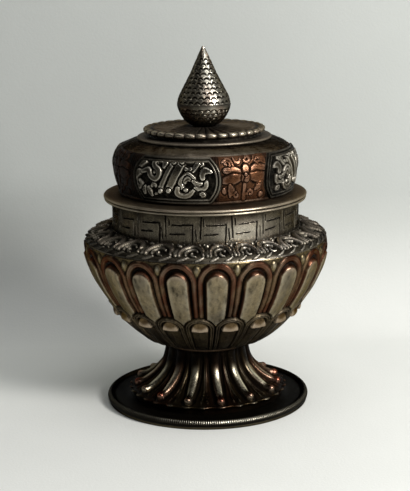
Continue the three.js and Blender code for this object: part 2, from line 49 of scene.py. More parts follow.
# Lengths are in millimetres until a mesh is made. A turn runs from 0 at the front (-Y) through +X to 1.
WALL = 1.2  # Thickness of the raised sheet.
LAP = 0.28  # How far a skin reaches into the joint with the next piece.
NECK_INNER, NECK_OUTER = 37.7, 38.9
LID_INNER = 34.4  # Radius of the opening in the lid's flange.
BOWL_RADIUS, FINIAL_RADIUS = 50.3, 11.1  # Each where it is widest.

# ---------------------------------------------------------------- numbers and curves


def smooth(value, low, high):
    share = np.clip((value - low) / (high - low), 0, 1)
    return share * share * (3 - 2 * share)


def ridge(value, middle, half, power=2):
    """A rounded ridge: 1 in the middle, 0 from half its width outwards."""
    return np.clip(1 - np.abs((value - middle) / half) ** power, 0, 1)


def dome(value):
    """The height of a half-round section whose value runs from 0 at its edge to 1 in its middle."""
    inside = np.clip(value, 0, 1)
    return np.sqrt(inside * (2 - inside))


def mixed(low, high, share):
    return low + (high - low) * share


def rows_between(*stops):
    """Shares from 0 to 1 as a column, with so many rows between one stop and the next."""
    parts = [np.linspace(low, high, count, endpoint=False) for low, high, count in stops]
    return np.concatenate([*parts, [1]])[:, None]


def from_angle(turn, middle):
    """Degrees from an angle to each turn, between -180 and 180."""
    return (turn * 360 - middle + 180) % 360 - 180


def painted_light_patch(turn, middle, half):
    """A patch round one angle, in degrees, on which light is painted: a painted highlight where the key light is
    reflected, or painted shade where the surface turns away from it.
    """
    return np.exp(-((from_angle(turn, middle) / half) ** 2))


def hand_spaced(turn, places, count):
    """Counts units round the axis: whole at each given place and evenly spread over the rest of the round."""
    rest = np.linspace(places[-1], places[0] + 360, count - len(places) + 2)
    stops = np.concatenate([places, rest[1:]])
    degrees = (turn * 360 - places[0]) % 360 + places[0]
    return np.interp(degrees, stops, np.arange(len(stops)))


def levels(node):
    lowest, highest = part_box(node)
    return lowest.z / MM, highest.z / MM


def through(points, steps):
    """A smooth line through the points, as in the CAD source."""
    points = np.array(points, float)
    last = len(points) - 1
    share = np.linspace(0, 1, steps, endpoint=False)[:, None]
    parts = []
    for index in range(last):
        before, start, end, after = (points[min(max(index + step, 0), last)] for step in (-1, 0, 1, 2))
        leave, arrive = (end - before) / 2, (after - start) / 2
        parts.append(
            (2 * start - 2 * end + leave + arrive) * share**3
            + (3 * end - 3 * start - 2 * leave - arrive) * share**2
            + leave * share
            + start
        )
    return np.vstack([*parts, points[-1:]])


class Outline:
    """A smooth outline from one corner to another, with places given as shares of its length."""

    def __init__(self, start, end, shares):
        start, end = np.array(start, float), np.array(end, float)
        self.points = through([start + (end - start) * np.array(share) for share in shares], 60)
        steps = np.hypot(*np.diff(self.points, axis=0).T)
        self.run = np.concatenate([[0], np.cumsum(steps)])
        self.length = self.run[-1]
        along = np.gradient(self.points, self.run, axis=0)
        along /= np.linalg.norm(along, axis=1)[:, None]
        self.out = np.stack([along[:, 1], -along[:, 0]], 1)

    def at(self, share, lift=0):
        """Radius and height at a share of the length, lifted off the outline."""
        run = np.asarray(share) * self.length
        read = [np.interp(run, self.run, values) for values in (*self.points.T, *self.out.T)]
        return read[0] + lift * read[2], read[1] + lift * read[3]


def ripple(turn, along, seed, rounds=9, waves=0.04):
    """Slow unevenness of hand work, between about -1 and 1."""
    chance = np.random.default_rng(seed)
    total = 0
    for _ in range(10):
        turns, rows, start = chance.integers(1, rounds), chance.uniform(-waves, waves), chance.uniform()
        total = total + np.sin(TAU * (turns * turn + rows * along + start))
    return total / 4


def blurred(field, rows, columns):
    """The field smoothed over so many rows and columns. The columns run round the axis."""
    height, width = field.shape
    tall = np.concatenate([field[::-1], field, field[::-1]])
    down = np.fft.fftfreq(3 * height)[:, None]
    across = np.fft.rfftfreq(width)[None, :]
    keep = np.exp(-2 * np.pi**2 * ((down * rows) ** 2 + (across * columns) ** 2))
    return np.fft.irfft2(np.fft.rfft2(tall) * keep, s=tall.shape)[height : 2 * height]


def wear(height, rows, columns, depth):
    """How far each place lies sunk below its surroundings, and how far it stands proud and is polished by wear, from 0
    to 1.
    """
    proud = height - blurred(height, rows, columns)
    return smooth(-proud, 0.02, depth), smooth(proud, 0.05, depth)


# ---------------------------------------------------------------- chased drawing


def from_line(x, y, step):
    """For places given from the start of a straight line: the share of the line at which each lies, and how far off."""
    share = np.clip((x * step[0] + y * step[1]) / (step @ step + 1e-9), 0, 1)
    return share, np.hypot(x - share * step[0], y - share * step[1])


def stroke(across, up, points, widths):
    """How far inside a drawn line each place is: 1 on its middle, 0 at its edge, below 0 outside."""
    line = through(points, 6)
    half = np.interp(np.linspace(0, 1, len(line)), np.linspace(0, 1, len(widths)), widths) / 2
    best = np.full(across.shape, -9.0)
    for start, end, thick, next_thick in zip(line[:-1], line[1:], half[:-1], half[1:]):
        share, away = from_line(across - start[0], up - start[1], end - start)
        best = np.maximum(best, 1 - away / mixed(thick, next_thick, share))
    return best


def blob(across, up, middle, size, tilt=0):
    """The same for an oval of the given width and height, tilted by degrees."""
    turn = math.radians(tilt)
    right, rise = across - middle[0], up - middle[1]
    along = (right * math.cos(turn) + rise * math.sin(turn)) / (size[0] / 2)
    over = (rise * math.cos(turn) - right * math.sin(turn)) / (size[1] / 2)
    return 1 - np.hypot(along, over)


def curl(middle, radius, start, turns):
    """Points of a spiral that winds in from its radius. Negative turns wind clockwise."""
    share = np.linspace(0, 1, 12)
    angle = np.radians(start) + TAU * turns * share
    reach = radius * (1 - 0.65 * share)
    return np.stack([middle[0] + reach * np.cos(angle), middle[1] + reach * np.sin(angle)], 1)


def drawn(across, up, marks, fullness=1.0):
    """The height of a group of marks. A line is its points, widths and height, and an oval its middle, size, tilt
    and height. Fuller marks are flatter."""
    total = np.zeros(across.shape)
    outline = np.zeros(across.shape)
    for *places, height in marks:
        inside = (stroke if len(places) == 2 else blob)(across, up, *places)
        total = total * (1 - ridge(inside, -0.14, 0.26))
        total = np.maximum(total, height * np.minimum(1, fullness * dome(inside)))
        outline = np.maximum(outline, ridge(inside, -0.12, 0.32))
    return total, np.where(total > 0.02, 0, outline)


def sampled(grid, across, up):
    """Reads a drawn tile at shares of its width, which repeats, and of its height."""
    rows, columns = grid.shape
    x = (across % 1) * (columns - 1)
    y = np.clip(up, 0, 1) * (rows - 1)
    left, low = np.floor(x).astype(int), np.floor(y).astype(int)
    right, high = np.minimum(left + 1, columns - 1), np.minimum(low + 1, rows - 1)
    x, y = x - left, y - low
    bottom = mixed(grid[low, left], grid[low, right], x)
    return mixed(bottom, mixed(grid[high, left], grid[high, right], x), y)


def wider(marks, share):
    """The same marks with their lines that much wider."""
    return [(mark[0], [width * share for width in mark[1]], mark[2]) if len(mark) == 3 else mark for mark in marks]


# ---------------------------------------------------------------- meshes


def turns_of(columns):
    return (np.arange(columns) / columns)[None, :]


def around(radius, height, turn):
    radius, height, turn = np.broadcast_arrays(radius, height, turn)
    return np.stack([radius * np.sin(TAU * turn), -radius * np.cos(TAU * turn), height], -1)


def mesh_piece(name, points, faces, masks, crease):
    """A mesh object from points in millimetres, faces as arrays of corners, and a mask value for each point."""
    mesh = bpy.data.meshes.new(name)
    mesh.vertices.add(len(points))
    mesh.vertices.foreach_set("co", (points * MM).astype(np.float32).ravel())
    corners = np.concatenate([part.ravel() for part in faces])
    sizes = np.concatenate([np.full(len(part), part.shape[1]) for part in faces])
    mesh.loops.add(len(corners))
    mesh.loops.foreach_set("vertex_index", corners.astype(np.int32))
    mesh.polygons.add(len(sizes))
    mesh.polygons.foreach_set("loop_start", np.concatenate([[0], np.cumsum(sizes)[:-1]]).astype(np.int32))
    mesh.polygons.foreach_set("use_smooth", np.ones(len(sizes), bool))
    mesh.update(calc_edges=True)
    mesh.validate()
    for mask, values in masks.items():
        layer = mesh.attributes.new(mask, "FLOAT", "POINT")
        layer.data.foreach_set("value", values.astype(np.float32))
    mesh.set_sharp_from_angle(angle=math.radians(crease))
    piece = bpy.data.objects.new(name, mesh)
    bpy.context.scene.collection.objects.link(piece)
    return piece


def round_skin(name, face, rest, masks, solid=False):
    """A closed skin round the axis. face is a grid of points, and rest gives the radius and height of each plain
    ring that leads back from its last row to its first. A solid skin starts and ends on the axis instead."""
    rows, columns, _ = face.shape
    turn = np.arange(columns) / columns
    rings = np.concatenate([face, *[around(*ring, turn)[None] for ring in rest]])
    number = np.arange(len(rings) * columns).reshape(len(rings), columns)
    points = rings.reshape(-1, 3)
    low = number[:-1] if solid else number
    high = number[1:] if solid else np.roll(number, -1, 0)
    faces = [np.stack([low, np.roll(low, -1, 1), np.roll(high, -1, 1), high], -1).reshape(-1, 4)]
    values = {mask: np.full(len(points), mean) for mask, mean in BACK.items()}
    for mask, grid in masks.items():
        values[mask][: rows * columns] = np.broadcast_to(grid, (rows, columns)).ravel()
    if solid:
        poles = np.array([[0, 0, rings[end][0, 2]] for end in (0, -1)])
        first, last = len(points), len(points) + 1
        points = np.concatenate([points, poles])
        for end, pole, ring in ((0, first, number[0]), (-1, last, number[-1])):
            sides = (np.roll(ring, -1), ring) if end == 0 else (ring, np.roll(ring, -1))
            faces.append(np.stack([np.full(columns, pole), *sides], -1))
            for mask in values:
                values[mask] = np.append(values[mask], values[mask][ring[0]])
    return mesh_piece(name, points, faces, values, 55)


def masked(copper, hollow_and_shade, rubbed_and_highlight):
    """The three masks that a metal reads: copper or silver, dirt in hollows together with painted shade, and edges
    polished by wear together with painted highlights.
    """
    return {"copper": np.clip(copper, 0, 1), "hollow_and_shade": np.clip(hollow_and_shade, 0, 1), "rubbed_and_highlight": np.clip(rubbed_and_highlight, 0, 1)}


BACK = {"copper": 0.0, "hollow_and_shade": 0.45, "rubbed_and_highlight": 0.0}


def with_rings(face, masks, before, after):
    """The face and its masks with plain rings before and after it, which take on the masks of the row next to them."""
    turn = turns_of(face.shape[1])
    first, last = ([around([[radius]], height, turn) for radius, height in rings] for rings in (before, after))
    return np.concatenate([*first, face, *last]), {
        mask: np.concatenate([grid[:1]] * len(first) + [grid] + [grid[-1:]] * len(last))
        for mask, grid in masks.items()
    }


# ---------------------------------------------------------------- metals


class Graph:
    """A material's nodes. A socket given as a value is linked, and anything else is set."""

    def __init__(self, name):
        self.material = bpy.data.materials.new(name)
        self.material.use_nodes = True
        self.tree = self.material.node_tree
        self.tree.nodes.clear()

    def add(self, kind, **values):
        node = self.tree.nodes.new("ShaderNode" + kind)
        for name, value in values.items():
            key = name.replace("_", " ")
            if hasattr(node, name) and key not in node.inputs:
                setattr(node, name, value)
                continue
            socket = node.inputs[int(name[1:])] if name[0] == "i" and name[1:].isdigit() else node.inputs[key]
            if isinstance(value, bpy.types.NodeSocket):
                self.tree.links.new(value, socket)
            else:
                socket.default_value = value
        return node

    def math(self, operation, first, second=0.0, clamp=False):
        return self.add("Math", operation=operation, use_clamp=clamp, i0=first, i1=second).outputs[0]

    def times(self, first, second, clamp=False):
        return self.math("MULTIPLY", first, second, clamp)

    def mix(self, factor, first, second):
        return self.add("Mix", data_type="RGBA", i0=factor, i6=first, i7=second).outputs[2]

    def blend(self, factor, first, second):
        return self.add("Mix", data_type="FLOAT", i0=factor, i2=first, i3=second).outputs[0]

    def noise(self, place, scale, detail=4.0, roughness=0.6, distortion=0.0):
        values = {"Scale": scale, "Detail": detail, "Roughness": roughness, "Distortion": distortion}
        return self.add("TexNoise", Vector=place, **values).outputs["Fac"]

    def spread(self, value, low, high, to_low=0.0, to_high=1.0):
        ends = {"From_Min": low, "From_Max": high, "To_Min": to_low, "To_Max": to_high}
        return self.add("MapRange", Value=value, **ends).outputs[0]

    def mask(self, name):
        return self.add("Attribute", attribute_name=name).outputs["Fac"]

    def stretched(self, place, scale):
        return self.add("Mapping", Vector=place, Scale=scale).outputs[0]


def colour(code):
    """A colour in linear light from its usual six-figure code."""
    parts = [int(code[start : start + 2], 16) / 255 for start in (0, 2, 4)]
    return tuple(part / 12.92 if part <= 0.04045 else ((part + 0.055) / 1.055) ** 2.4 for part in parts) + (1,)


# The three tones of silver and of copper are the dark one, the light one and the stain. The soil colour also serves as
# painted shade, and the shine colour as painted highlight.
METAL = {
    "silver": "5c523d 8a7c60 3a3226", "copper": "2b170e 533223 1e120c", "soil_and_shade": "080604", "shine": "d2c9b4",
    "copper_shine": "bd937a", "grazing": "8a857a", "rough": 0.38, "soil_and_shade_rough": 0.55, "shine_rough": 0.24,
    "hammer": 0.35, "streak": (1, 1, 1), "streaks": 0.2, "stains": 0.7, "rubbing_and_highlight": 0.7, "fine": 0.45,
}


def metal(name, **changes):
    """Old chased metal: silver or copper by the copper mask, dirt in the hollows and painted shade by a second mask,
    and shine on edges polished by wear and on painted highlights by a third.
    """
    look = {**METAL, **changes}
    g = Graph(name)
    place = g.add("TexCoord").outputs["Object"]
    patches = g.noise(place, 70.0, 5.0, 0.62, 0.4)
    mottle = g.blend(look["fine"], g.noise(place, 330.0, 6.0, 0.68, 0.3), g.noise(place, 1150.0, 4.0, 0.7, 0.6))
    grain = g.noise(place, 1900.0, 3.0, 0.6)
    streaks = g.noise(g.stretched(place, look["streak"]), 2600.0, 2.0, 0.55)
    stain = g.times(g.spread(patches, 0.48, 0.66), look["stains"])

    def mottled(tones, low, high):
        dark, light, stained = (colour(code) for code in tones.split())
        return g.mix(stain, g.mix(g.spread(mottle, low, high), dark, light), stained)

    edge = g.math("ADD", g.mask("copper"), g.spread(patches, 0.3, 0.7, -0.18, 0.18), True)
    silver, copper = mottled(look["silver"], 0.33, 0.68), mottled(look["copper"], 0.35, 0.65)
    base = g.mix(g.spread(edge, 0.12, 0.88), silver, copper)

    # Dirt in the hollows and painted shade take the dark soil colour; rubbed edges and painted highlights take the
    # shine colour.
    hollow_and_shade = g.times(g.mask("hollow_and_shade"), g.spread(mottle, 0.2, 0.75, 1.25, 0.7), True)
    specks = g.times(g.spread(g.noise(place, 900.0, 4.0, 0.7), 0.6, 0.72), 0.55)
    soil_and_shade = g.math("MAXIMUM", hollow_and_shade, g.times(specks, stain), True)
    base = g.mix(soil_and_shade, base, colour(look["soil_and_shade"]))
    rubbed_and_highlight = g.times(g.mask("rubbed_and_highlight"), g.spread(patches, 0.25, 0.6, 0.45, 1.0))
    rubbed_and_highlight = g.times(g.times(rubbed_and_highlight, g.math("SUBTRACT", 1.0, soil_and_shade)), look["rubbing_and_highlight"], True)
    base = g.mix(rubbed_and_highlight, base, g.mix(g.mask("copper"), colour(look["shine"]), colour(look["copper_shine"])))

    rough = g.spread(mottle, 0.3, 0.7, look["rough"] - 0.08, look["rough"] + 0.1)
    rough = g.blend(soil_and_shade, g.blend(rubbed_and_highlight, rough, look["shine_rough"]), look["soil_and_shade_rough"])
    rough = g.math("ADD", rough, g.spread(grain, 0.3, 0.7, -0.05, 0.05))

    relief = g.times(g.noise(place, 240.0, 2.0, 0.5), look["hammer"])
    for part, share in ((grain, 0.16), (streaks, look["streaks"]), (mottle, 0.3)):
        relief = g.math("ADD", relief, g.times(part, share))
    normal = g.add("Bump", Strength=0.55, Distance=0.00045, Height=relief).outputs[0]

    surface = g.add(
        "BsdfPrincipled", Base_Color=base, Roughness=rough, Normal=normal, Metallic=g.blend(soil_and_shade, 1.0, 0.55)
    )
    surface.inputs["Specular Tint"].default_value = colour(look["grazing"])
    g.add("OutputMaterial", Surface=surface.outputs[0])
    return g.material


ALONG, UPRIGHT = (0.06, 0.06, 1), (1, 1, 0.1)  # Streaks round the axis, and up and down.

# How each slot differs from METAL.
LOOKS = {
    "bowl_silver": dict(
        silver="463b28 8c7c5b 3a3226", copper_shine="a07a62", rough=0.34, hammer=0.6, fine=0.6, stains=0.85,
        streak=(1, 1, 0.12),
    ),
    "foot_copper": dict(
        silver="231c13 3c3220 17110b", copper="1d0f09 3f2419 1e120c", soil_and_shade="050302", shine="f6ecd0",
        copper_shine="b8705a", grazing="4a443c", rough=0.27, shine_rough=0.3, rubbing_and_highlight=1.0, streak=UPRIGHT,
    ),
    "shoulder_silver": dict(silver="3b362e 686153 25221c", shine="dcd6c8", grazing="524e47", rough=0.3),
    "neck_silver": dict(
        silver="332e26 625a4b 201c17", shine="e6dfce", grazing="6a665d", rough=0.24, streak=(1, 1, 0.05), streaks=0.8,
    ),
    "rim_silver": dict(silver="40362a 6a5c48 31261b", rough=0.46, streak=ALONG, streaks=0.5),
    "drum_copper": dict(
        silver="443c33 6e6558 352d26", copper="342117 714c34 2a1a11", copper_shine="dcb39a", grazing="46423b",
        rough=0.31, streak=ALONG, streaks=0.45,
    ),
    "plaque_silver": dict(
        silver="453f35 787062 2b2821", soil_and_shade="050504", shine="e8e1d2", grazing="3c3933", rough=0.29, shine_rough=0.19,
        rubbing_and_highlight=0.85,
    ),
    "rosette_silver": dict(silver="51483f 7d7266 3d352d", grazing="7a766c", rough=0.36),
    "finial_silver": dict(silver="37322a 635b4a 25221a", shine="f2ecdd", grazing="4a463e", rough=0.22, rubbing_and_highlight=0.9),
    "base_bronze": dict(
        silver="15120e 29241c 0f0d0a", soil_and_shade="030302", shine="57503f", grazing="24211c", rough=0.42,
        streak=(0.05, 0.05, 1), streaks=0.4,
    ),
    "wire_bronze": dict(
        silver="17140f 2c271d 120f0b", soil_and_shade="040302", shine="f0e8d4", grazing="3a352e", rough=0.32, shine_rough=0.22,
        rubbing_and_highlight=0.9,
    ),
    "inner": dict(silver="2c2820 454034 231f19", rough=0.45),
}
METALS = {slot: metal(slot.split("_")[0] + "_metal", **changes) for slot, changes in LOOKS.items()}


# ---------------------------------------------------------------- base plate, wire and foot


def base_plate():
    low, high = levels("base_plate")
    turn = turns_of(360)
    section = [
        (39.2, low + 1.4), (39.2, low + 0.2), (39.35, low), (42.2, low), (42.4, low + 0.2), (42.4, low + 0.85),
        (42.25, low + 1.28), (40.1, low + 1.3), (40.1, high - 0.1), (39.95, high),
    ]
    radii = np.concatenate([[point[0] for point in section], np.linspace(39.5, 4, 60)])[:, None]
    heights = np.concatenate([[point[1] for point in section], np.full(60, high)])[:, None]
    floor = smooth(radii, 40.0, 39.0) * (np.arange(len(radii))[:, None] >= len(section))
    beaten = 0.05 * ripple(turn, radii, 3, 12, 0.08) - 0.05
    face = around(radii, heights + floor * beaten, turn)
    # Even soil on the plate's top, with painted shade deepening towards the foot that stands on it; the outer edge is
    # rubbed.
    masks = masked(0, floor * (0.25 + 0.5 * smooth(radii, 36, 31)), ridge(radii, 42.4, 0.5))
    return round_skin("base_plate_skin", face, [], masks, solid=True)


def base_wire():
    low, high = levels("base_wire")
    notches, fine = 300, 8
    turn = turns_of(notches * fine)
    low -= LAP
    angle = np.radians(np.linspace(-78, 200, 15))[:, None]
    radii = 41.6 + 1.32 * np.cos(angle)
    heights = mixed(low, high, 0.42) + mixed(0, high - low, 0.58) * np.sin(angle)
    heights = np.maximum(heights, low)
    milled = ridge(angle, 0.95, 0.8)
    tooth = (0.5 + 0.5 * np.cos(TAU * notches * turn)) ** 0.8
    cut = milled * (1 - tooth)
    face = around(radii - 0.3 * cut + 0.03 * ripple(turn, heights, 5), heights, turn)
    # Painted shade on the lower part of the wire, soil in the milled cuts, and rubbed tooth tops brightened by a
    # painted highlight round the front.
    below = 0.85 * smooth(angle, 0.25, -0.1)
    masks = {
        "hollow_and_shade": np.maximum(smooth(cut, 0.08, 0.4), below),
        "rubbed_and_highlight": milled * smooth(tooth, 0.6, 1) * (0.3 + 1.3 * painted_light_patch(turn, 5, 25)),
    }
    return round_skin("base_wire_skin", face, [(40.3, low)], masks)


FOOT_SHARES = [
    [0.95, 0], [0.96, 0.09], [1, 0.135], [0.86, 0.19], [0.6, 0.27],
    [0.32, 0.42], [0.13, 0.58], [0.04, 0.75], [0, 0.9], [0, 1],
]
# Degrees of the ribs that the photograph shows, and between them.
RIB_PLACES, RIB_PITCH = [-41.4, -15.7, 10, 35.7, 61.4], 25.7


def foot():
    low, high = levels("foot")
    curve = Outline((16.9, low - LAP), (32.4, high + LAP), FOOT_SHARES)
    ribs = 16
    turn = turns_of(ribs * 44)
    share = rows_between((0, 0.09, 6), (0.09, 0.34, 74), (0.34, 1.0, 60))
    run = share * curve.length
    radius, _ = curve.at(share)
    # The rib each place belongs to, and how far it lies from the rib's middle.
    phase = hand_spaced(turn + 0.0008 * ripple(turn, 0, 11, 7), RIB_PLACES, ribs)
    number = np.round(phase)
    pitch = np.radians(np.where(phase < 4, RIB_PITCH, (360 - 4 * RIB_PITCH) / (ribs - 4))) * radius
    across = (phase - number) * pitch
    chance = np.random.default_rng(7).uniform(-1, 1, (ribs, 3))[number.astype(int) % ribs]
    odd, tint = chance[..., 0], chance[..., 1]
    # Ribs that start in a knob, and a fine flute on either side of the valley between two.
    knob_at = 6.4 + 0.4 * odd
    knob = np.exp(-(((run - knob_at) / 1.5) ** 2))
    half = 1.35 + 0.65 * smooth(run, 6, 14) + 0.4 * knob + 0.06 * odd
    rib = dome(1 - np.hypot(across, 1.1 * np.minimum(run - knob_at, 0)) / half)
    lift = (mixed(2.0, 0.9, share) + (0.5 + 0.12 * odd) * knob) * rib
    beside = pitch / 2 - np.abs(across)
    gap = 0.3 + 1.1 * smooth(run, 15, 4.5)
    fade = smooth(run, 3.9, 6.5) * (1 - smooth(share, 0.6, 0.95))
    flute = 0.4 * fade * dome(1 - np.abs(beside - gap) / 0.5)
    valley = -0.45 * ridge(np.hypot(across, np.minimum(run - knob_at, 0)), half + 0.7, 0.8)
    # The hem over the skirt, with two scallops to a rib.
    edge = 3.35
    hem = 0.3 * np.exp(-(((run - edge - 0.25) / 0.45) ** 2))
    height = np.maximum(lift, flute) + valley * smooth(run, 3.6, 4.6) + 0.05 * ripple(turn, run, 12, 30, 0.2)
    height = (height + hem) * smooth(run, 2.0, 3.2) * (1 - 0.6 * smooth(share, 0.97, 1))
    wave = (0.5 + 0.5 * np.cos(2 * TAU * phase)) ** 1.4 * (1 + 0.2 * odd)
    scallop = 1.15 * wave * np.exp(-(((run - edge) / np.where(run < edge, 0.5, 1.3)) ** 2))
    radius, level = curve.at(share, height)
    face = around(radius + scallop, level, turn)
    # Painted shade on the skirt and at the top under the bowl, soil in the valleys, and a painted highlight streaking
    # down each rib, strongest near the front.
    hollow_and_shade, rubbed_and_highlight = wear(height + 0.6 * scallop, 4, 9, 0.5)
    skirt = smooth(run, 3.2, 2.7)
    top = smooth(share, 0.64, 0.86)
    soiled_and_shaded = np.clip(hollow_and_shade + 0.4 * (1 - rib) * (1 - fade) + 0.3 * (1 - rib) * smooth(run, 9, 20), 0, 1)
    soiled_and_shaded = np.maximum(soiled_and_shaded * (1 - 0.75 * np.exp(-(((run - edge - 0.2) / 0.55) ** 2))), 0.9 * skirt)
    streak = ridge(across, 0.15, 1.2) * smooth(run, 8, 11) * (1 - smooth(share, 0.6, 0.82))
    streak = streak * (0.3 + 0.7 * painted_light_patch(turn, 15, 52))
    masks = masked(
        0.25 + 0.35 * tint + 0.6 * knob * rib - 0.9 * streak,
        np.maximum(soiled_and_shaded, 0.93 * top),
        1.2 * streak + 0.3 * knob * rubbed_and_highlight + 0.15 * rubbed_and_highlight * (1 - top),
    )
    back = [curve.at(step, -WALL) for step in (1, 0.8, 0.6, 0.45, 0.35, 0.26, 0.2)]
    back[0] = (16.9 - WALL, high + LAP)
    return round_skin("foot_skin", face, [*back, (30.5, low - LAP)], masks)


LIP_RUBBED = [0] * 5 + [0, 0.1, 0.4, 0.9, 1, 0.7, 0.3] + [0.1] * 5


def lip_ring(name, inner, outer, low, high, columns, uneven, copper, hollow_and_shade, seed=1, fall=0.0, brightened=1.0):
    """A flat, slightly uneven ring with a rounded edge, which may fall outside the neck."""
    turn = turns_of(columns)
    half = (high - low) / 2
    bend, angles = half * 1.1, np.radians(np.linspace(-90, 90, 7))
    out, flat = outer - bend, np.linspace(0, 1, 6)
    radii = np.concatenate([mixed(inner, out, flat[:-1]), out + bend * np.cos(angles), mixed(out, inner, flat[1:])])
    heights = np.concatenate([np.full(5, low), (low + high) / 2 + half * np.sin(angles), np.full(5, high)])
    heights = (heights - fall * np.maximum(0, radii - NECK_OUTER))[:, None]
    radii = radii[:, None]
    face = around(
        radii + uneven * ripple(turn, heights, seed, 8), heights + uneven * ripple(turn, radii, seed + 50, 6), turn
    )
    return round_skin(name, face, [], masked(copper, hollow_and_shade, brightened * np.array(LIP_RUBBED)[:, None]))


# ---------------------------------------------------------------- bowl

PETALS = 20
BOWL_SHARES = [
    [0, 0], [0.09, 0.02], [0.29, 0.112], [0.475, 0.233], [0.62, 0.36],
    [0.737, 0.482], [0.845, 0.61], [0.94, 0.765], [0.99, 0.9], [1, 1],
]
LOWER_END = 0.55  # Share of the outline at which the lower petals end.
FRONT_PETAL = 4.8  # Angle of the upper petal nearest the front, in degrees.
HALF_PETAL = 7.92  # Half the width of an upper petal at the bowl's widest line.


def petal_places(phase, share, radius, run, end, arch, seed):
    """For each place: its distance inside the petal's outline, how far up the head it is, and its distance
    below the tip, all scaled to a petal of full width."""
    number = np.round(phase)
    half = np.pi * radius / PETALS
    across = (phase - number) * 2
    odd = np.random.default_rng(seed).uniform(-1, 1, PETALS)[number.astype(int) % PETALS]
    below = (end - share) * run + 0.35 * odd
    rise = np.clip(1 - below / arch, 0, None)
    inside = half * (1 - np.hypot(across, rise))
    return inside / (half / HALF_PETAL), rise, below, across, odd


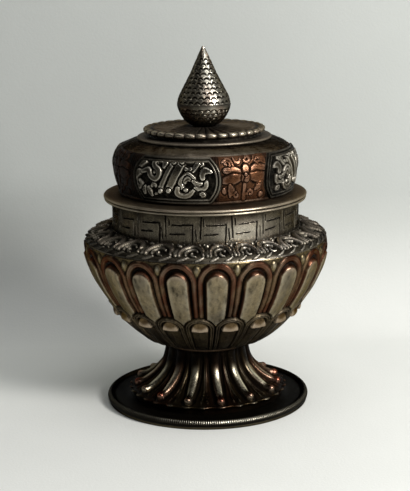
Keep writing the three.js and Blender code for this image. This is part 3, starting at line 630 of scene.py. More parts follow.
def bowl():
    low, high = levels("bowl")
    curve = Outline((17.6, low), (BOWL_RADIUS, high), BOWL_SHARES)
    run = curve.length
    turn = turns_of(PETALS * 38)
    share = rows_between((0, 0.06, 5), (0.06, 0.38, 30), (0.38, 0.57, 34), (0.57, 0.8, 18), (0.8, 1.0001, 36))
    share = np.minimum(share, 1)
    up = share * run
    radius, _ = curve.at(share)
    phase = (turn + 0.0009 * ripple(turn, 0, 21, 9)) * PETALS - FRONT_PETAL * PETALS / 360

    # Upper petals: a raised border, a groove, and a raised face with sloping edges and a low ridge.
    inside, rise, _, across, odd = petal_places(phase, share, radius, run, 1.006, 9.3, 31)
    face_edge = 0.85 + 1.5 * np.clip(rise, 0, 1) ** 1.5
    border = 0.9 * ridge(inside, 1.25, 1.35, 3) - 0.12 * ridge(inside, 1.5, 0.25)
    deeper = 0.8 * np.clip(rise, 0, 1) ** 2
    groove = -0.4 * ridge(inside, 2.8 + deeper, 0.6)
    slope = np.clip((inside - 3.05 - deeper) / face_edge, 0, 1)
    plateau = 0.5 * slope + 0.5 * smooth(slope, 0, 1)
    gable = 0.42 * (1 - np.sqrt((across - 0.06 * odd) ** 2 + 0.004) / 0.6)
    upper = border + groove + plateau * (1.2 + gable)

    # Between their tips: a bud on slanting hatch, under a narrow band.
    tip = (1.0001 - share) * run
    bud_across = (0.5 - np.abs(phase - np.round(phase))) * 2 * np.pi * radius / PETALS
    bud = blob(bud_across, tip, (0, 3.3), (2.9, 4.6))
    open_field = smooth(-inside, 0, 0.3)
    slant = 0.07 * np.sin(TAU * (bud_across + 0.8 * tip) / 0.75)
    spandrel = open_field * (0.75 * dome(bud) + slant * smooth(-bud, 0.1, 0.3))
    band = 0.3 * ridge(tip, 0.3, 0.4)
    upper = upper + spandrel + band * (inside < 0.4)

    # Lower petals, which stand over the upper ones: two arches, a moat, and a nub on the face with a keel.
    low_inside, _, low_below, low_across, low_odd = petal_places(
        phase - 0.5, share, radius, run, LOWER_END, 6.2, 32
    )
    arches = 0.85 * ridge(low_inside, 0.75, 0.75) + 0.75 * ridge(low_inside, 2.05, 0.7)
    moat = -0.45 * ridge(low_inside, 3.05, 0.5)
    wall = smooth(low_inside, 3.2, 3.9)
    nub = 1.5 * smooth(low_below, 3.0, 6.2) - 1.3 * smooth(low_below, 6.3, 7.5)
    keel = 0.4 * np.clip(1 - np.abs(low_across) / 0.5, 0, 1) * smooth(low_below, 4, 8)
    lower = 0.8 * smooth(low_inside, 0, 0.9) + arches + moat + wall * (0.35 + nub + keel + 0.12 * low_odd)
    lower = lower * smooth(share, 0.0, 0.16)
    covered = smooth(low_inside, -0.05, 0.05)
    upper = upper * smooth(-low_inside, 0, 0.55)
    height = mixed(upper, lower, covered)
    height = height + 0.05 * ripple(turn, up, 23, 40, 0.12)

    # Copper on the borders and heads of the upper petals and thinly on the lower ones, silver on the faces.
    hollow_and_shade, rubbed_and_highlight = wear(height, 3.2, 4.2, 0.5)
    face_top = plateau * (1 - covered)
    # The faces below the nubs of the lower petals, which take painted shade.
    under = covered * wall * smooth(low_below, 6.2, 7.4)
    in_upper = smooth(inside, -0.1, 0.1) * (1 - covered)
    uneven = smooth(ripple(turn, up, 24, 70, 0.12), -0.8, 0.7)
    copper = in_upper * (1 - 0.97 * smooth(plateau, 0.8, 1.0)) * mixed(0.66, 1.0, uneven)
    copper = copper + 0.5 * face_top * smooth(rise, 0.05, 0.5) + covered * (0.3 + 0.15 * wall * (1 - under))
    copper = copper + 0.5 * (1 - covered) * (1 - in_upper) * smooth(-bud, 0, 0.15) * smooth(tip, 1.0, 2.0)
    # Soil in the grooves and seams and in spots on the faces, painted shade below the nubs of the lower petals, and
    # painted shade on the underside towards the foot.
    gap = 0.85 * ridge(inside, 2.8 + deeper, 0.42) * (1 - covered) + ridge(low_inside, 3.05, 0.6) * covered
    seam = np.maximum(ridge(inside, 0, 0.35), ridge(inside, 1.5, 0.25) * 0.3) * (1 - covered) + ridge(
        low_inside, 1.4, 0.3
    ) * covered + ridge(low_inside, -0.1, 0.45) + ridge(bud, -0.1, 0.16) * open_field * (1 - covered)
    soiled_and_shaded = np.clip(0.75 * hollow_and_shade + 0.95 * gap + 0.8 * seam + 0.75 * under + 0.55 * covered * (1 - wall), 0, 1)
    soiled_and_shaded = soiled_and_shaded * (1 - 0.55 * face_top) + 0.3 * (1 - smooth(share, 0.1, 0.4))
    spots = smooth(ripple(turn, up, 26, 170, 0.35), 0.1, 1.0)
    spots = spots + smooth(ripple(turn, up, 27, 50, 0.1), 0.3, 1.1)
    soiled_and_shaded = soiled_and_shaded + 0.42 * face_top * spots
    polish = rubbed_and_highlight * (1 - 0.45 * in_upper) * (1 - 0.6 * covered * (1 - wall))
    masks = masked(copper, soiled_and_shaded, polish + 0.25 * ridge(slope, 0.97, 0.12) * (1 - covered))
    back = [curve.at(step, -WALL) for step in (0.93, 0.85, 0.7, 0.55, 0.4, 0.25, 0.1)]
    top = curve.at(1)
    rest = [(top[0] - WALL, top[1]), *back, (17.2, low + WALL), (4, low + WALL)]
    face = around(*curve.at(share, height * smooth(share, 0, 0.05)), turn)
    face, masks = with_rings(face, masks, [(4.0, low)], [])
    return round_skin("bowl_skin", face, rest, masks, solid=True)


# ---------------------------------------------------------------- shoulder and neck

# Middles of the loops of the scroll and of the uprights of the fret, in degrees, where the photograph shows them.
LOOP_PLACES = [-39.7, -22.8, -6.2, 7.3, 20.1, 32.9, 47.3]
LOOPS = 24
FRET_PLACES = [-61, -43.6, -23.7, -3, 15.9, 35.7, 54]
FRETS = 19

SCROLL = [
    # The hood: an arch that stands over a hollow, fuller on its left.
    ([(-4.5, 3.1), (-4.6, 5.6), (-3.6, 8.6), (-1.4, 10.7), (1.2, 10.6), (3.2, 8.7), (4.1, 6.0), (4.3, 3.4)],
     [1.3, 1.9, 2.4, 2.6, 2.5, 2.2, 1.7, 1.2], 1.3),
    ([(-2.4, 3.6), (-2.6, 5.6), (-1.4, 7.5), (0.5, 7.7), (1.8, 6.3)], [0.9, 1.2, 1.3, 1.2, 0.7], 0.8),
    ([(1.2, 3.0), (0.1, 3.3), (-0.6, 4.3), (-0.1, 5.3)], [0.7, 1.0, 0.9, 0.6], 0.6),
    # What lies between two hoods.
    ([(5.9, 3.2), (5.6, 5.2), (6.2, 7.4)], [1.4, 1.9, 0.8], 0.95),
    ((5.9, 10.9), (2.4, 1.9), 0, 1.0),
    ([(-2.6, 12.3), (0.0, 12.8), (2.6, 12.2)], [0.6, 1.0, 0.6], 0.7),
    ([(4.4, 12.6), (5.9, 13.1), (7.4, 12.6)], [0.5, 0.8, 0.5], 0.6),
    # Two slanting cuts of the rope under each hood.
    ([(-4.7, 0.8), (-3.0, 1.3), (-1.4, 2.3)], [0.7, 1.1, 0.6], 0.85),
    ([(1.2, 0.8), (2.9, 1.3), (4.5, 2.3)], [0.7, 1.1, 0.6], 0.85),
]


def shoulder():
    low, high = levels("shoulder")[0], levels("neck_collar")[0]
    curve = Outline((NECK_INNER, low - LAP), (BOWL_RADIUS, high), [
        [1, 0], [0.95, 0.25], [0.8, 0.5], [0.52, 0.74], [0.25, 0.9], [0, 1],
    ])
    turn = turns_of(LOOPS * 40)
    share = np.linspace(0, 0.93, 78)[:, None]
    unit = hand_spaced(turn, LOOP_PLACES, LOOPS)
    pitch, tall = 11.8, 14
    # One unit of the scroll, drawn with its neighbours, is read round the band.
    tile_across, tile_up = np.meshgrid(np.linspace(-pitch / 2, pitch / 2, 237), np.linspace(0, tall, 281))
    tile, outline = np.zeros(tile_across.shape), np.zeros(tile_across.shape)
    for step in (-pitch, 0, pitch):
        part, around_it = drawn(tile_across - step, tile_up, SCROLL)
        tile, outline = np.maximum(tile, part), np.maximum(outline, around_it)
    hole = dome(blob(tile_across, tile_up, (0.0, 5.6), (6.4, 6.6))) * (tile < 0.1)
    outline = np.where(tile > 0.05, 0, outline)
    across = unit - np.round(unit)
    up = share * curve.length
    swell, dark, sunk = (
        sampled(grid, across + 0.5 + 0 * up, up / tall + 0 * across) for grid in (tile, outline, hole)
    )
    odd = np.random.default_rng(41).uniform(0.85, 1.12, LOOPS + 1)[np.round(unit).astype(int)]
    height = 0.85 * swell * odd - 0.35 * sunk - 0.15 * dark
    hatch = 0.09 * np.sin(TAU * (across * pitch * 0.6 + up) / 0.9) * (swell > 0.5)
    height = (height + hatch) * smooth(up, 0, 0.6) * (1 - smooth(share, 0.88, 0.93))
    height = height + 0.05 * ripple(turn, up, 43, 40, 0.2)
    hollow_and_shade, rubbed_and_highlight = wear(height, 4, 4.5, 0.6)
    rail = smooth(up, 0.7, 0.3)
    # Painted shade on the left and far right, where the band turns away from the light.
    painted_side_shade = 0.42 * painted_light_patch(turn, -55, 28) + 0.5 * painted_light_patch(turn, 78, 22)
    soiled_and_shaded = np.clip(0.95 * hollow_and_shade + 0.75 * dark + 0.9 * sunk + 0.3 * smooth(up, 2.8, 1.2) + painted_side_shade, 0, 1)
    # Rubbed tops of the scroll, brightened by a painted highlight just right of the front.
    masks = masked(
        0.12 + 0.2 * smooth(swell, 0.9, 1.2),
        soiled_and_shaded * (1 - rail),
        (0.25 + 1.1 * painted_light_patch(turn, 20, 28)) * (rubbed_and_highlight + 0.3 * (swell > 0.4)) + 0.3 * rail,
    )
    inside = [(NECK_INNER, high), (NECK_INNER, high - 1.4), curve.at(0.5, -WALL)]
    rest = [*inside, (49.1, low + 1.0), (49.1, low - LAP)]
    return round_skin("shoulder_skin", around(*curve.at(share, height), turn), rest, masks)


# The cuts of one unit of the fret: two ends as shares of the unit's width and of the neck's visible height, then width.
FRET = [
    ((0.0, 0.2), (0.0, 0.94), 0.55),
    ((0.17, 0.62), (0.79, 0.645), 0.5),
    ((0.79, 0.645), (0.79, 0.02), 0.65),
    ((0.10, 0.33), (0.55, 0.35), 0.5),
    ((0.1, 0.6), (0.09, 0.82), 0.36),
    ((0.87, 0.5), (0.88, 0.12), 0.34),
]


def neck_collar():
    low, high = levels("neck_collar")
    low, high = low - LAP, high + LAP
    pitch, tall = TAU * NECK_OUTER / FRETS, high - low
    turn = turns_of(FRETS * 52)
    up = np.concatenate([[0], np.linspace(0.15, tall - 0.15, 62), [tall]])[:, None]
    unit = hand_spaced(turn, FRET_PLACES, FRETS)
    number = np.floor(unit + 0.06).astype(int)
    chance = np.random.default_rng(51).uniform(-1, 1, (FRETS + 2, 12))
    cut = np.full((len(up), turn.shape[1]), -9.0)
    for index, (start, end, width) in enumerate(FRET):
        start, end = (np.array(corner) * (pitch, tall) for corner in (start, end))
        upright = abs(start[0] - end[0]) < 0.02 * pitch
        for step in (0, 1):
            # Each cut shifts, tilts and widens a little by itself, as cuts made by hand do.
            mine = np.clip(number + step, 0, FRETS + 1)
            shift = 0.25 * chance[mine, index]
            tilt = 0.35 * chance[mine, index + 6]
            across = (unit - number - step) * pitch
            lean = shift + tilt * (up - (start[1] + end[1]) / 2) / 6 if upright else 0 * up
            drop = 0 if upright else shift + tilt * (across - start[0]) / 6
            wide = width * (1 + 0.25 * chance[mine, index + 1])
            along, away = from_line(across - lean - start[0], up - drop - start[1], end - start)
            taper = 0.55 + 0.45 * np.sin(np.pi * np.clip(along, 0.06, 0.94)) ** 0.5
            cut = np.maximum(cut, 1 - away / (wide * taper * 0.62))
    deep = smooth(cut, 0, 0.75)
    hatch = 0.035 * ripple(turn, 0.02 * up, 57, 420, 0.02)
    bulge = 0.06 * ridge(cut, -0.35, 0.5)
    height = -0.75 * deep + bulge + hatch * (1 - deep) + 0.07 * ripple(turn, up, 55, 14, 0.05)
    edges = smooth(up, 0, 0.3) * smooth(tall - up, 0, 0.3)
    face = around(NECK_OUTER - 0.12 * (1 - edges) + height * edges, low + up + 0 * turn, turn)
    shade = 0.55 * smooth(up, tall - 3.2, tall) + 0.45 * smooth(up, 1.6, 0)
    patchy = 0.25 * smooth(ripple(turn, up, 58, 22, 0.12), -0.2, 1.0)
    # Rubbed edges of the cuts, and a painted highlight low on the neck just right of the front.
    brightened = 0.2 * ridge(cut, -0.4, 0.4) + (0.1 + 0.85 * painted_light_patch(turn, 24, 15)) * smooth(up, 11, 5)
    masks = masked(
        0.08 + 0.15 * smooth(ripple(turn, up, 59, 12, 0.1), 0, 1),
        1.2 * deep + 0.4 * ridge(cut, -0.1, 0.35) + shade + patchy,
        np.clip(brightened, 0, 1) * (1 - deep),
    )
    return round_skin("neck_skin", face, [(NECK_INNER, high), (NECK_INNER, low)], masks)


# ---------------------------------------------------------------- lid

DRUM_SHARES = [
    [0, 0], [0.38, 0.15], [0.74, 0.33], [1, 0.52], [0.82, 0.66], [0.1, 0.8],
    [-0.85, 0.885], [-1.9, 0.94], [-3.1, 0.98], [-8.6 / 1.85, 1],
]
PLAQUE_ANGLES = [-19.3, 68.2, 153, 240]
PLAQUE_HALF = 28.9
PLAQUE_START, PLAQUE_END = 0.02, 0.69  # Shares of the drum's outline.
PLAQUE_ROUND, PLAQUE_CURVE = 0.22, 2.2  # How far its ends draw in at the corners, and the power by which they curve.
PANEL_RADIUS, PLAQUE_RADIUS = 37, 38  # Radii at which their drawing is laid out.
drum_low, drum_high = levels("lid_drum")
drum_curve = Outline((35.6, drum_low), (37.45, drum_high), DRUM_SHARES)

# Flower, leaves and scrolls of a copper panel: from the panel's middle line, and up from the drum's foot.
FLOWER = [
    ([(-1.0, 12.9), (-4.5, 13.5), (-8.0, 13.9)], [1.4, 3.0, 1.7], 0.8),
    ([(-1.0, 11.2), (-4.6, 10.4), (-8.2, 9.9)], [1.4, 3.5, 2.2], 0.7),
    ([(1.8, 12.9), (5.4, 14.1), (9.2, 13.9)], [1.4, 3.0, 2.0], 0.75),
    ([(1.8, 11.4), (5.6, 10.6), (9.5, 11.1)], [1.4, 3.5, 1.8], 0.7),
    ((-0.2, 10.2), (2.3, 3.4), 20, 0.66),
    ((1.0, 10.2), (2.3, 3.4), -20, 0.7),
    ((0.5, 14.2), (3.2, 4.0), 0, 0.8),
    ((0.45, 12.0), (1.7, 1.6), 0, 0.9),
    ([(0.1, 7.9), (0.0, 5.0), (0.1, 1.8)], [1.3, 1.2, 1.5], 0.5),
    (curl((-7.2, 16.7), 1.5, -40, 0.85), [0.9, 0.9, 0.7], 0.6),
    ([(-9.0, 17.2), (-6.9, 18.7), (-5.4, 17.7), (-4.7, 15.6)], [0.7, 0.9, 0.9, 0.6], 0.55),
    ([(-4.2, 19.0), (-3.6, 17.2), (-2.0, 16.9), (-1.1, 18.6)], [0.6, 1.0, 1.0, 0.6], 0.55),
    (curl((1.7, 18.3), 1.6, 200, 0.9), [0.8, 1.0, 0.8], 0.6),
    (curl((6.6, 17.6), 1.5, 200, 0.9), [0.8, 1.0, 0.8], 0.6),
    ([(4.4, 17.4), (5.6, 19.2), (8.5, 19.6)], [0.6, 0.9, 0.5], 0.5),
    ([(-6.2, 8.2), (-5.4, 5.9), (-5.8, 3.2)], [0.8, 2.4, 0.9], 0.6),
    (curl((-3.2, 3.8), 1.2, 100, 0.85), [0.8, 0.9, 0.7], 0.55),
    (curl((2.9, 4.1), 1.5, 200, -0.9), [0.8, 1.0, 0.8], 0.55),
    ([(7.7, 8.3), (6.4, 6.6), (4.9, 5.5)], [0.8, 1.9, 0.8], 0.6),
    ([(10.1, 10.1), (8.6, 8.8), (5.8, 8.1)], [0.5, 0.7, 0.5], 0.4),
    ((8.1, 3.0), (2.4, 2.8), -30, 0.55),
    ((-8.3, 5.6), (1.8, 3.0), 10, 0.5),
]


def panel_places(turn):
    """For each turn: its angle from the middle of the nearest gap between plaques, and half of that gap."""
    pairs = list(zip(PLAQUE_ANGLES, PLAQUE_ANGLES[1:] + [PLAQUE_ANGLES[0] + 360]))
    halves = [(following - here) / 2 - PLAQUE_HALF for here, following in pairs]
    away = np.stack([from_angle(turn, (here + following) / 2) for here, following in pairs])
    nearest = np.abs(away).argmin(0)
    return np.take_along_axis(away, nearest[None], 0)[0], np.array(halves)[nearest]


def lid_drum():
    turn = turns_of(900)
    share = np.append(np.linspace(0, 0.72, 84)[:-1], np.linspace(0.72, 1, 24))[:, None]
    up = share * drum_curve.length
    away, half = panel_places(turn)
    across = np.radians(away) * PANEL_RADIUS + 0 * up
    swell, dark = drawn(across, up, wider(FLOWER, 1.3), 1.8)
    # The field between two plaques, with hatch at its sides.
    climb = (share - (PLAQUE_START + PLAQUE_END) / 2) / (PLAQUE_END - PLAQUE_START) * 2
    reach = half + PLAQUE_HALF * PLAQUE_ROUND * np.clip(np.abs(climb), 0, 1) ** PLAQUE_CURVE
    inside = np.radians(reach - np.abs(away)) * PANEL_RADIUS
    field = smooth(inside, 0.2, 0.8) * smooth(up, 0.9, 1.5) * (1 - smooth(up, 19.6, 20.2))
    beside = field * smooth(np.abs(across), 9.8, 10.8)
    lines = 0.12 * np.sin(TAU * across / 1.15) * beside
    height = field * (0.6 * swell - 0.2 * dark) + lines
    # Rails under the drum's top and at its foot.
    height = height + 0.16 * ridge(up, 20.6, 0.4) + 0.12 * ridge(up, 21.5, 0.35)
    height = height + 0.3 * ridge(up, 0.5, 0.6) + 0.06 * ripple(turn, up, 61, 30, 0.1)
    hollow_and_shade, rubbed_and_highlight = wear(height, 3.5, 4, 0.4)
    copper = np.maximum(field, 0.45 * smooth(up, 1.6, 0.8)) + 0.15 * smooth(ripple(turn, up, 62, 9, 0.08), 0.1, 1.2)
    # The panel with the widest gap lies on the left and takes painted shade, with less shine.
    wide_gap = smooth(half, 17, 19)
    soiled_and_shaded = (0.8 * hollow_and_shade + 0.8 * dark + 0.35 * (1 - smooth(swell, 0.1, 0.3))) * field + 0.5 * hollow_and_shade * (1 - field)
    soiled_and_shaded = soiled_and_shaded + 0.6 * smooth(up, 1.6, 0.6) + 0.8 * wide_gap * field + 0.5 * beside
    edge = ridge(inside, 0.1, 0.7) * smooth(up, 0.2, 0.8) * (1 - smooth(up, 19.4, 20.4))
    masks = masked(copper, soiled_and_shaded + 0.8 * edge, 0.6 * rubbed_and_highlight * (0.3 + 0.7 * field) * (1 - 0.7 * wide_gap))
    face = around(*drum_curve.at(share, height), turn)
    face, masks = with_rings(face, masks, [], [(26.0, drum_high), (4.0, drum_high)])
    back = [drum_curve.at(step, -WALL) for step in (0.82, 0.74, 0.66, 0.55, 0.4, 0.25, 0.1)]
    rest = [(4.0, drum_high - WALL), (26.6, drum_high - WALL), *back]
    return round_skin("lid_drum_skin", face, [*rest, (LID_INNER, drum_low - LAP), (35.6, drum_low - LAP)], masks)


# Bound books between cloud and ribbon scrolls, from the plaque's middle.
EMBLEMS = [
    ([(-17.3, 3.9), (-15.2, 5.5), (-12.8, 6.6)], [1.6, 2.4, 1.2], 1.0),
    ([(-15.5, 2.6), (-17.6, 0.6), (-17.4, -1.8), (-15.8, -3.1), (-14.3, -2.0), (-15.3, -0.3)],
     [2.2, 2.2, 1.5, 1.7, 1.5, 0.9], 1.1),
    ([(-4.0, 7.9), (-3.3, 6.6), (-3.7, 5.2)], [1.2, 2.0, 1.0], 1.2),
    ([(-5.2, 7.6), (-7.6, 7.5), (-8.3, 6.3), (-7.4, 5.0), (-5.9, 3.9), (-5.9, 2.0), (-7.6, 0.6), (-9.7, 1.7),
      (-10.6, 3.8), (-13.8, 3.0)], [1.3, 1.6, 1.8, 1.7, 1.9, 1.8, 1.7, 1.6, 1.8, 1.0], 1.15),
    ((-6.7, 6.6), (1.0, 1.0), 0, 0.7),
    ((-7.9, 3.2), (1.5, 1.5), 0, 0.8),
    ([(-12.9, -2.8), (-13.4, -4.2), (-13.2, -5.6)], [1.0, 1.7, 0.9], 1.0),
    ([(-11.1, -2.9), (-10.6, -4.6), (-9.6, -6.1)], [1.0, 1.8, 1.0], 1.05),
    ([(-9.5, -2.5), (-8.5, -1.4), (-7.4, -2.4)], [0.9, 1.4, 0.8], 0.9),
    ((-8.0, -5.5), (1.8, 1.4), 0, 0.6),
    ([(0.5, 7.0), (-2.5, 1.6), (-5.5, -3.7)], [2.1, 2.4, 2.2], 1.1),
    ([(3.9, 7.3), (1.0, 2.1), (-1.9, -3.2)], [2.4, 2.7, 2.5], 1.2),
    ((0.6, 7.3), (2.5, 2.1), 60, 1.3),
    ((4.0, 7.6), (2.7, 2.3), 60, 1.4),
    ((-5.6, -4.2), (2.5, 2.1), 60, 1.3),
    ((-2.0, -3.8), (2.6, 2.3), 60, 1.35),
    ([(5.6, 7.6), (8.2, 7.9), (10.7, 7.2), (12.0, 5.6)], [1.2, 1.9, 2.5, 1.2], 1.15),
    ([(8.2, 3.9), (9.3, 5.8), (10.2, 6.9)], [1.0, 1.7, 1.4], 1.0),
    ([(5.2, 4.8), (6.3, 4.1), (7.3, 4.8)], [1.0, 1.5, 1.0], 0.95),
    ([(11.9, 1.5), (11.8, 3.0), (13.0, 4.1), (15.2, 3.6)], [1.6, 1.9, 2.1, 0.8], 1.15),
    ([(8.5, 1.3), (6.5, 2.5), (4.6, 1.7), (3.2, -0.3), (3.9, -2.5)], [1.3, 1.8, 1.8, 1.7, 1.5], 1.2),
    ([(4.9, -0.2), (5.9, 1.2), (7.5, 0.5)], [1.1, 1.6, 1.0], 0.9),
    ([(1.9, -2.6), (1.7, -4.8), (4.0, -5.8), (6.4, -5.2), (8.2, -3.4)], [1.6, 1.9, 1.8, 1.9, 1.3], 1.2),
    ((5.1, -3.4), (2.2, 1.8), 0, 1.0),
    ([(8.2, 0.3), (9.7, -0.9), (11.4, -0.7)], [1.1, 1.6, 1.1], 1.0),
    ([(13.3, -0.2), (12.9, -2.2), (10.8, -3.0), (8.9, -2.2)], [1.4, 1.6, 1.5, 1.0], 1.1),
    ((11.8, -5.2), (3.4, 2.6), -35, 0.95),
]


def lid_plaque(index, centre):
    columns, rows = 236, 118
    side = np.linspace(-1, 1, columns)[None, :]
    climb = np.linspace(-1, 1, rows)[:, None]
    reach = 1 - PLAQUE_ROUND * np.abs(climb) ** PLAQUE_CURVE
    turn = (centre + side * reach * PLAQUE_HALF) / 360
    share = mixed(PLAQUE_START, PLAQUE_END, (climb + 1) / 2)
    width, tall = np.radians(PLAQUE_HALF) * PLAQUE_RADIUS, (PLAQUE_END - PLAQUE_START) * drum_curve.length / 2
    across, up = side * reach * width, climb * tall + 0 * side
    slope = np.hypot(1, PLAQUE_CURVE * PLAQUE_ROUND * np.abs(climb) ** (PLAQUE_CURVE - 1) * width / tall)
    # Two raised lines frame the plaque. Every second one has its emblems mirrored.
    from_edge = np.minimum((reach * width - np.abs(across)) / slope, tall - np.abs(up))
    frame_lines = 0.62 * dome(1 - np.abs(from_edge - 0.5) / 0.52) + 0.55 * dome(1 - np.abs(from_edge - 1.75) / 0.48)
    mirrored = 1 if index % 2 == 0 else -1
    swell, dark = drawn(across * mirrored, up, wider(EMBLEMS, 1.38), 1.35)
    keep = smooth(from_edge, 2.0, 2.4)
    detail = 0.1 * np.sin(TAU * (across * mirrored * 0.45 - up * 0.9) / 0.95) * ridge(swell, 0.9, 0.22)
    lift = 0.38 + frame_lines + keep * (0.95 * swell - 0.1 * dark + detail * 0.6 - 0.1)
    lift = lift + 0.04 * ripple(turn, up, 71 + index, 60, 0.1)
    lift = lift * np.minimum(1, smooth(from_edge, -0.3, 0.12) + 0.05)
    face, back = (around(*drum_curve.at(share + 0 * side, height), turn) for height in (lift, -0.25))
    hollow_and_shade, rubbed_and_highlight = wear(lift, 3.5, 3.5, 0.45)
    ground = keep * smooth(swell, 0.3, 0.05)
    soiled_and_shaded = np.clip(0.75 * hollow_and_shade + 1.1 * ground + 1.1 * ridge(from_edge, 1.13, 0.22), 0, 1)
    framed = 1 - smooth(from_edge, 2.0, 2.6)
    # The frame is soiled, and each plaque's left end takes painted shade.
    soiled_and_shaded = soiled_and_shaded + 0.2 * framed + (0.6 + 0.1 * framed) * smooth(side, 0.15, -0.8)
    if index == 1:  # The end of the second plaque that turns away from the light takes painted shade.
        soiled_and_shaded = soiled_and_shaded + 0.8 * smooth(side, -0.1, 0.6)
    masks = masked(0.03 + 0 * lift, soiled_and_shaded, rubbed_and_highlight * (1 - 0.5 * framed))
    # Front, rear and the four sides that join them.
    number = np.arange(2 * rows * columns).reshape(2, rows, columns)
    front, rear = number
    faces = []
    for grid, flip in ((front, False), (rear, True)):
        corners = [grid[:-1, :-1], grid[:-1, 1:], grid[1:, 1:], grid[1:, :-1]]
        faces.append(np.stack(corners[::-1] if flip else corners, -1).reshape(-1, 4))
    for a, b in ((front[0], rear[0]), (rear[-1], front[-1]), (rear[:, 0], front[:, 0]), (front[:, -1], rear[:, -1])):
        faces.append(np.stack([b[:-1], b[1:], a[1:], a[:-1]], -1))
    points = np.concatenate([face.reshape(-1, 3), back.reshape(-1, 3)])
    values = {mask: np.concatenate([grid.ravel(), np.full(grid.size, BACK[mask])]) for mask, grid in masks.items()}
    return mesh_piece(f"lid_plaque_{index + 1}_skin", points, faces, values, 60)


LOBES, ROSETTE_TURN = 34, 3.4


def lid_rosette():
    low, high = levels("lid_rosette")
    low -= LAP
    turn = turns_of(LOBES * 22)
    section = [
        (22.4, 0.0), (23.5, 0.0), (23.5, 0.5), (23.3, 1.0), (23.6, 1.3), (24.5, 1.55), (25.1, 1.9), (25.2, 2.3),
        (24.9, 2.75), (24.3, 2.95), (23.6, 3.0), (22.8, 2.95), (22.0, 2.95),
    ]
    section += [(radius, mixed(high - low, 2.95, (radius - 4.6) / 17.4)) for radius in np.linspace(21.2, 4.6, 34)]
    radii, heights = np.array(section).T
    radii, heights = radii[:, None], low + heights[:, None]
    spread = turn + ROSETTE_TURN / 360 + 0.0006 * ripple(turn, 0, 81, 12)
    # Lobes on the rim, and flutes that run inwards from them.
    wave = np.abs(np.cos(np.pi * LOBES * spread))
    rim = smooth(radii, 21.5, 24.0) * smooth(heights, low + 0.9, low + 1.7)
    inner = smooth(radii, 22.5, 20.5) * smooth(radii, 5.5, 8.5)
    lobe = wave**0.6
    flute = 0.8 * (wave**0.7 - 0.5) * inner + 0.5 * smooth(radii, 19, 24) * (heights > low + 2)
    moat = -0.35 * ridge(radii, 21.9, 1.1) * (heights > low + 2)
    swell = flute + moat + 0.04 * ripple(turn, radii, 82, 50, 0.2) * (heights > low + 2)
    face = around(radii - 0.85 * rim * (1 - lobe), heights + swell + 0.3 * rim * (lobe - 0.7), turn)
    raised = swell + rim * lobe * 0.8
    hollow_and_shade, rubbed_and_highlight = wear(raised, 2.5, 6, 0.35)
    # Painted shade on the side under the rim and round the middle under the cup, soil between the lobes and in the
    # flutes.
    side = smooth(heights, low + 1.6, low + 0.6)
    soiled_and_shaded = hollow_and_shade + 0.95 * side + 0.8 * rim * smooth(lobe, 0.55, 0.2) + 0.8 * smooth(radii, 9.5, 6.5)
    # Rubbed lobe tips, brighter in a painted highlight right of the front.
    brightened = (0.5 + 0.35 * painted_light_patch(turn, 25, 30)) * rim * smooth(lobe, 0.75, 1) + 0.5 * rubbed_and_highlight
    masks = masked(
        0.08 + 0.2 * smooth(ripple(turn, radii, 83, 8, 0.05), 0.1, 1),
        soiled_and_shaded + 0.85 * inner * smooth(wave, 0.6, 0.1),
        np.clip(brightened, 0, 1) * (1 - side),
    )
    return round_skin("lid_rosette_skin", face, [(4.6, high - 1.2), (22.2, low + 1.4)], masks)


def scales(turn, run, radius, count_steps, rows, gap, rise, thick):
    """Staggered rows of crescent cuts. The count round the axis drops where the form narrows."""
    cut = np.full(np.broadcast(turn, run).shape, -9.0)
    for row in range(rows):
        middle = (row + 0.3) * gap
        here = np.interp(middle, run[:, 0], radius[:, 0])
        count = next(number for number, least in count_steps if here >= least)
        phase = turn * count + 0.5 * (row % 2) + 0.05 * ripple(turn, 0, 90 + row, 5)
        number = np.round(phase)
        odd = np.random.default_rng(row).uniform(-1, 1, count + 1)[number.astype(int) % count]
        across = (phase - number) * TAU * radius / count
        wide = (0.92 + 0.06 * odd) * TAU * here / count / 2
        bow = np.sqrt(np.clip(1 - (across / wide) ** 2, 0, 1)) * rise - 0.35 * rise
        near = 1 - np.abs(run - middle - 0.12 * odd - bow) / (thick * (1 + 0.2 * odd))
        ends = smooth(wide - np.abs(across), 0, 0.15)
        cut = np.where(ends > 0, np.maximum(cut, near * ends), cut)
    return smooth(cut, 0, 0.7)


def finial_cone():
    low, high = levels("finial_cone")
    curve = Outline((0.8, low - LAP), (FINIAL_RADIUS, high), [
        [1, 0], [0.93, 0.13], [0.72, 0.31], [0.43, 0.56], [0.18, 0.8], [0, 0.97],
    ])
    turn = turns_of(420)
    share = np.append(np.linspace(0, 0.985, 150), 1)[:, None]
    run = share * curve.length
    radius, _ = curve.at(share)
    steps = [(24, 9.3), (20, 7.6), (16, 5.8), (12, 4.2), (9, 2.8), (6, 1.6), (4, 0)]
    cut = scales(turn, run, radius, steps, int(curve.length / 2.1) - 1, 2.1, 1.35, 0.5)
    height = -0.6 * cut * smooth(share, 0, 0.03) - 0.2 * ridge(run, 0, 0.4) + 0.05 * ripple(turn, run, 91, 24, 0.2)
    # Soil in the cuts and at the foot, and a painted highlight down the right of the front over a little rubbing.
    masks = masked(
        0.45 * smooth(ripple(turn, run, 92, 6, 0.06), 0.15, 1.1),
        1.2 * cut + 0.9 * ridge(run, 0, 0.5) + 0.3 * smooth(ripple(turn, run, 93, 5, 0.05), 0.3, 1.3),
        (0.12 + 0.75 * painted_light_patch(turn, 19, 20)) * (1 - cut),
    )
    face, masks = with_rings(
        around(*curve.at(share, height), turn), masks,
        [(3.0, low - LAP), (9.8, low - LAP)], [(0.62, high - 0.12), (0.2, high)],
    )
    return round_skin("finial_cone_skin", face, [], masks, solid=True)


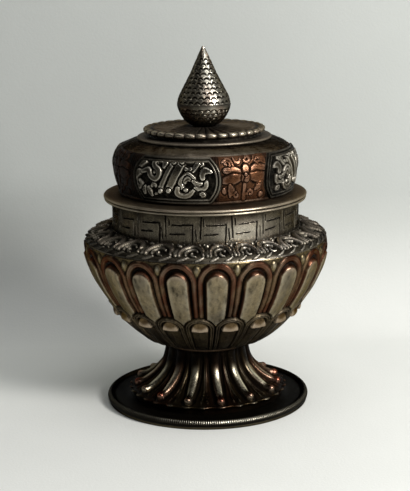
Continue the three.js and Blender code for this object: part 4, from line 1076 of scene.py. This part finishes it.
def finial_cup():
    low, high = levels("finial_cup")
    shares = [[0, 0], [0.36, 0.14], [0.71, 0.42], [0.93, 0.76], [1, 1]]
    curve = Outline((4.2, low - LAP), (FINIAL_RADIUS, high), shares)
    turn = turns_of(420)
    share = np.linspace(0, 1, 62)[:, None]
    run = share * curve.length
    radius, _ = curve.at(share)
    rows, steps = int(curve.length / 1.8), [(24, 9.0), (19, 7.0), (14, 0)]
    cut = scales(turn, run, radius, steps, rows, 1.8, 1.2, 0.32)
    fine = scales(turn, run + 0.6, radius, steps, rows, 1.8, 0.9, 0.2)
    height = (-0.35 * cut - 0.18 * fine) * smooth(run, 0, 1.5) + 0.05 * ripple(turn, run, 95, 24, 0.2)
    # Soil in the cuts and at the seam under the cone, painted shade on the lower half that faces down, and a painted
    # highlight right of the front over a little rubbing.
    masks = masked(
        0.5 * smooth(ripple(turn, run, 96, 6, 0.06), 0.1, 1.1),
        1.1 * cut + 0.7 * fine + 0.9 * smooth(share, 0.5, 0.25) + 0.6 * smooth(share, 0.88, 0.96),
        (0.1 + 0.5 * painted_light_patch(turn, 19, 24)) * (1 - cut) * smooth(share, 0.4, 0.8),
    )
    face = around(*curve.at(share, height), turn)
    return round_skin("finial_cup_skin", face, [(9.8, high), (8.6, low + 4), (4.2, low + 0.8)], masks)


# ---------------------------------------------------------------- pieces on the frame


def dress(piece, node, body, slot):
    piece.data.materials.append(METALS[slot])
    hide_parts(node)
    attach(piece, body)


dress(base_plate(), "base_plate", "vessel", "base_bronze")
dress(base_wire(), "base_wire", "vessel", "wire_bronze")
dress(foot(), "foot", "vessel", "foot_copper")
low, high = levels("foot_collar")
collar = lip_ring("foot_collar_skin", 15.2, 17.8, low - LAP, high + LAP, 200, 0.03, 0.3, 0.55)
dress(collar, "foot_collar", "vessel", "base_bronze")
dress(bowl(), "bowl", "vessel", "bowl_silver")
dress(shoulder(), "shoulder", "vessel", "shoulder_silver")
dress(neck_collar(), "neck_collar", "vessel", "neck_silver")
low, high = levels("mouth_rim")
rim = lip_ring("mouth_rim_skin", NECK_INNER, 42.0, high - 1.12, high, 360, 0.07, 0.12, 0.1, 6, 0.18)
dress(rim, "mouth_rim", "vessel", "rim_silver")
low, high = levels("lid_flange")
flange = lip_ring("lid_flange_skin", LID_INNER, 42.3, high - 1.1, high, 360, 0.07, 0.2, 0.1, 7, 0.18)
dress(flange, "lid_flange", "lid", "rim_silver")
dress(lid_drum(), "lid_drum", "lid", "drum_copper")
for index, centre in enumerate(PLAQUE_ANGLES):
    dress(lid_plaque(index, centre), f"lid_plaque_{index + 1}", "lid", "plaque_silver")
low, high = levels("lid_step_plate")
step_plate = lip_ring("lid_step_skin", 4.0, 27.8, low - LAP, high, 300, 0.05, 0.15, 0.4, 8, brightened=0.6)
dress(step_plate, "lid_step_plate", "lid", "rosette_silver")
dress(lid_rosette(), "lid_rosette", "lid", "rosette_silver")
dress(finial_cup(), "finial_cup", "lid", "finial_silver")
dress(finial_cone(), "finial_cone", "lid", "finial_silver")

for node in ("lid_bezel", "finial_rivet", "finial_washer"):
    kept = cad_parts[node]
    kept.data.materials.clear()
    kept.data.materials.append(METALS["inner"])

# ---------------------------------------------------------------- floor, light and camera


def matt(name, floor, wall, grain):
    """Paper of two tones: the floor's, and the wall's from some way up, whose darker colour is painted shade. A camera
    doesn't see its back, so that one behind the backdrop still sees the object."""
    g = Graph(name)
    place = g.add("TexCoord").outputs["Object"]
    shade = g.spread(g.noise(place, 9.0, 4.0, 0.55), 0.35, 0.65)
    # Painted shade: the paper darkens from the floor's colour to the wall's over the bend.
    rise = g.spread(g.add("SeparateXYZ", Vector=place).outputs["Z"], 0.0, 0.065)
    light = g.mix(rise, colour(floor), colour(wall))
    dark = g.mix(0.04, light, (0, 0, 0, 1))
    paper = g.noise(place, grain, 3.0, 0.6)
    normal = g.add("Bump", Strength=0.1, Distance=0.001, Height=paper).outputs[0]
    surface = g.add("BsdfPrincipled", Base_Color=g.mix(shade, dark, light), Roughness=0.9, Normal=normal)
    surface.inputs["Specular IOR Level"].default_value = 0.2
    unseen = g.times(g.add("NewGeometry").outputs["Backfacing"], g.add("LightPath").outputs["Is Camera Ray"])
    clear = g.add("BsdfTransparent").outputs[0]
    g.add("OutputMaterial", Surface=g.add("MixShader", i0=unseen, i1=surface.outputs[0], i2=clear).outputs[0])
    return g.material


def sweep():
    """A paper floor that curves up into a backdrop behind the object."""
    turn_start, bend, top = 0.075, 0.05, 1.3
    profile = [(-1.6, 0), (-0.4, 0), (turn_start, 0)]
    for angle in np.radians(np.linspace(6, 90, 15)):
        profile.append((turn_start + bend * math.sin(angle), bend * (1 - math.cos(angle))))
    profile.append((turn_start + bend, top))
    sides = (-1.6, 1.6)
    points = np.array([(x, y, z) for y, z in profile for x in sides]) / MM
    start = np.arange(len(profile) - 1) * 2
    faces = [np.stack([start, start + 1, start + 3, start + 2], -1)]
    piece = mesh_piece("paper_sweep", points, faces, {}, 180)
    piece.data.materials.append(matt("sweep_paper", "dedfdb", "bcbfbc", 900.0))


sweep()


def area(name, place, aim, size, power, tint):
    light = bpy.data.lights.new(name, "AREA")
    light.shape = "RECTANGLE"
    light.size, light.size_y = size
    light.energy = power
    light.color = tint
    lamp = bpy.data.objects.new(name, light)
    lamp.location = place
    lamp.rotation_euler = (Vector(aim) - Vector(place)).to_track_quat("-Z", "Y").to_euler()
    bpy.context.scene.collection.objects.link(lamp)


area("key", (0.49, -0.44, 0.41), (0, 0, 0.06), (0.2, 0.2), 6.0, (1.0, 0.985, 0.96))
area("top", (0.2, -0.3, 1.05), (0, -0.05, 0.0), (0.9, 1.1), 5.1, (0.98, 0.99, 1.0))

world = bpy.data.worlds.new("room")
bpy.context.scene.world = world
world.use_nodes = True
background = world.node_tree.nodes["Background"]
background.inputs["Color"].default_value = (0.9, 0.93, 0.95, 1)
background.inputs["Strength"].default_value = 0.06

camera_data = bpy.data.cameras.new("camera")
camera_data.sensor_width = 36
camera_data.lens = 100.65
camera = bpy.data.objects.new("camera", camera_data)
bpy.context.scene.collection.objects.link(camera)
bpy.context.scene.camera = camera
place, aim = Vector((-0.00035, -0.5639, 0.1935)), Vector((-0.00035, 0, 0.0664))
turned = (aim - place).to_track_quat("-Z", "Y").to_matrix() @ Matrix.Rotation(math.radians(-0.8), 3, "Z")
camera.matrix_world = Matrix.Translation(place) @ turned.to_4x4()

bpy.context.scene.view_settings.view_transform = "Standard"
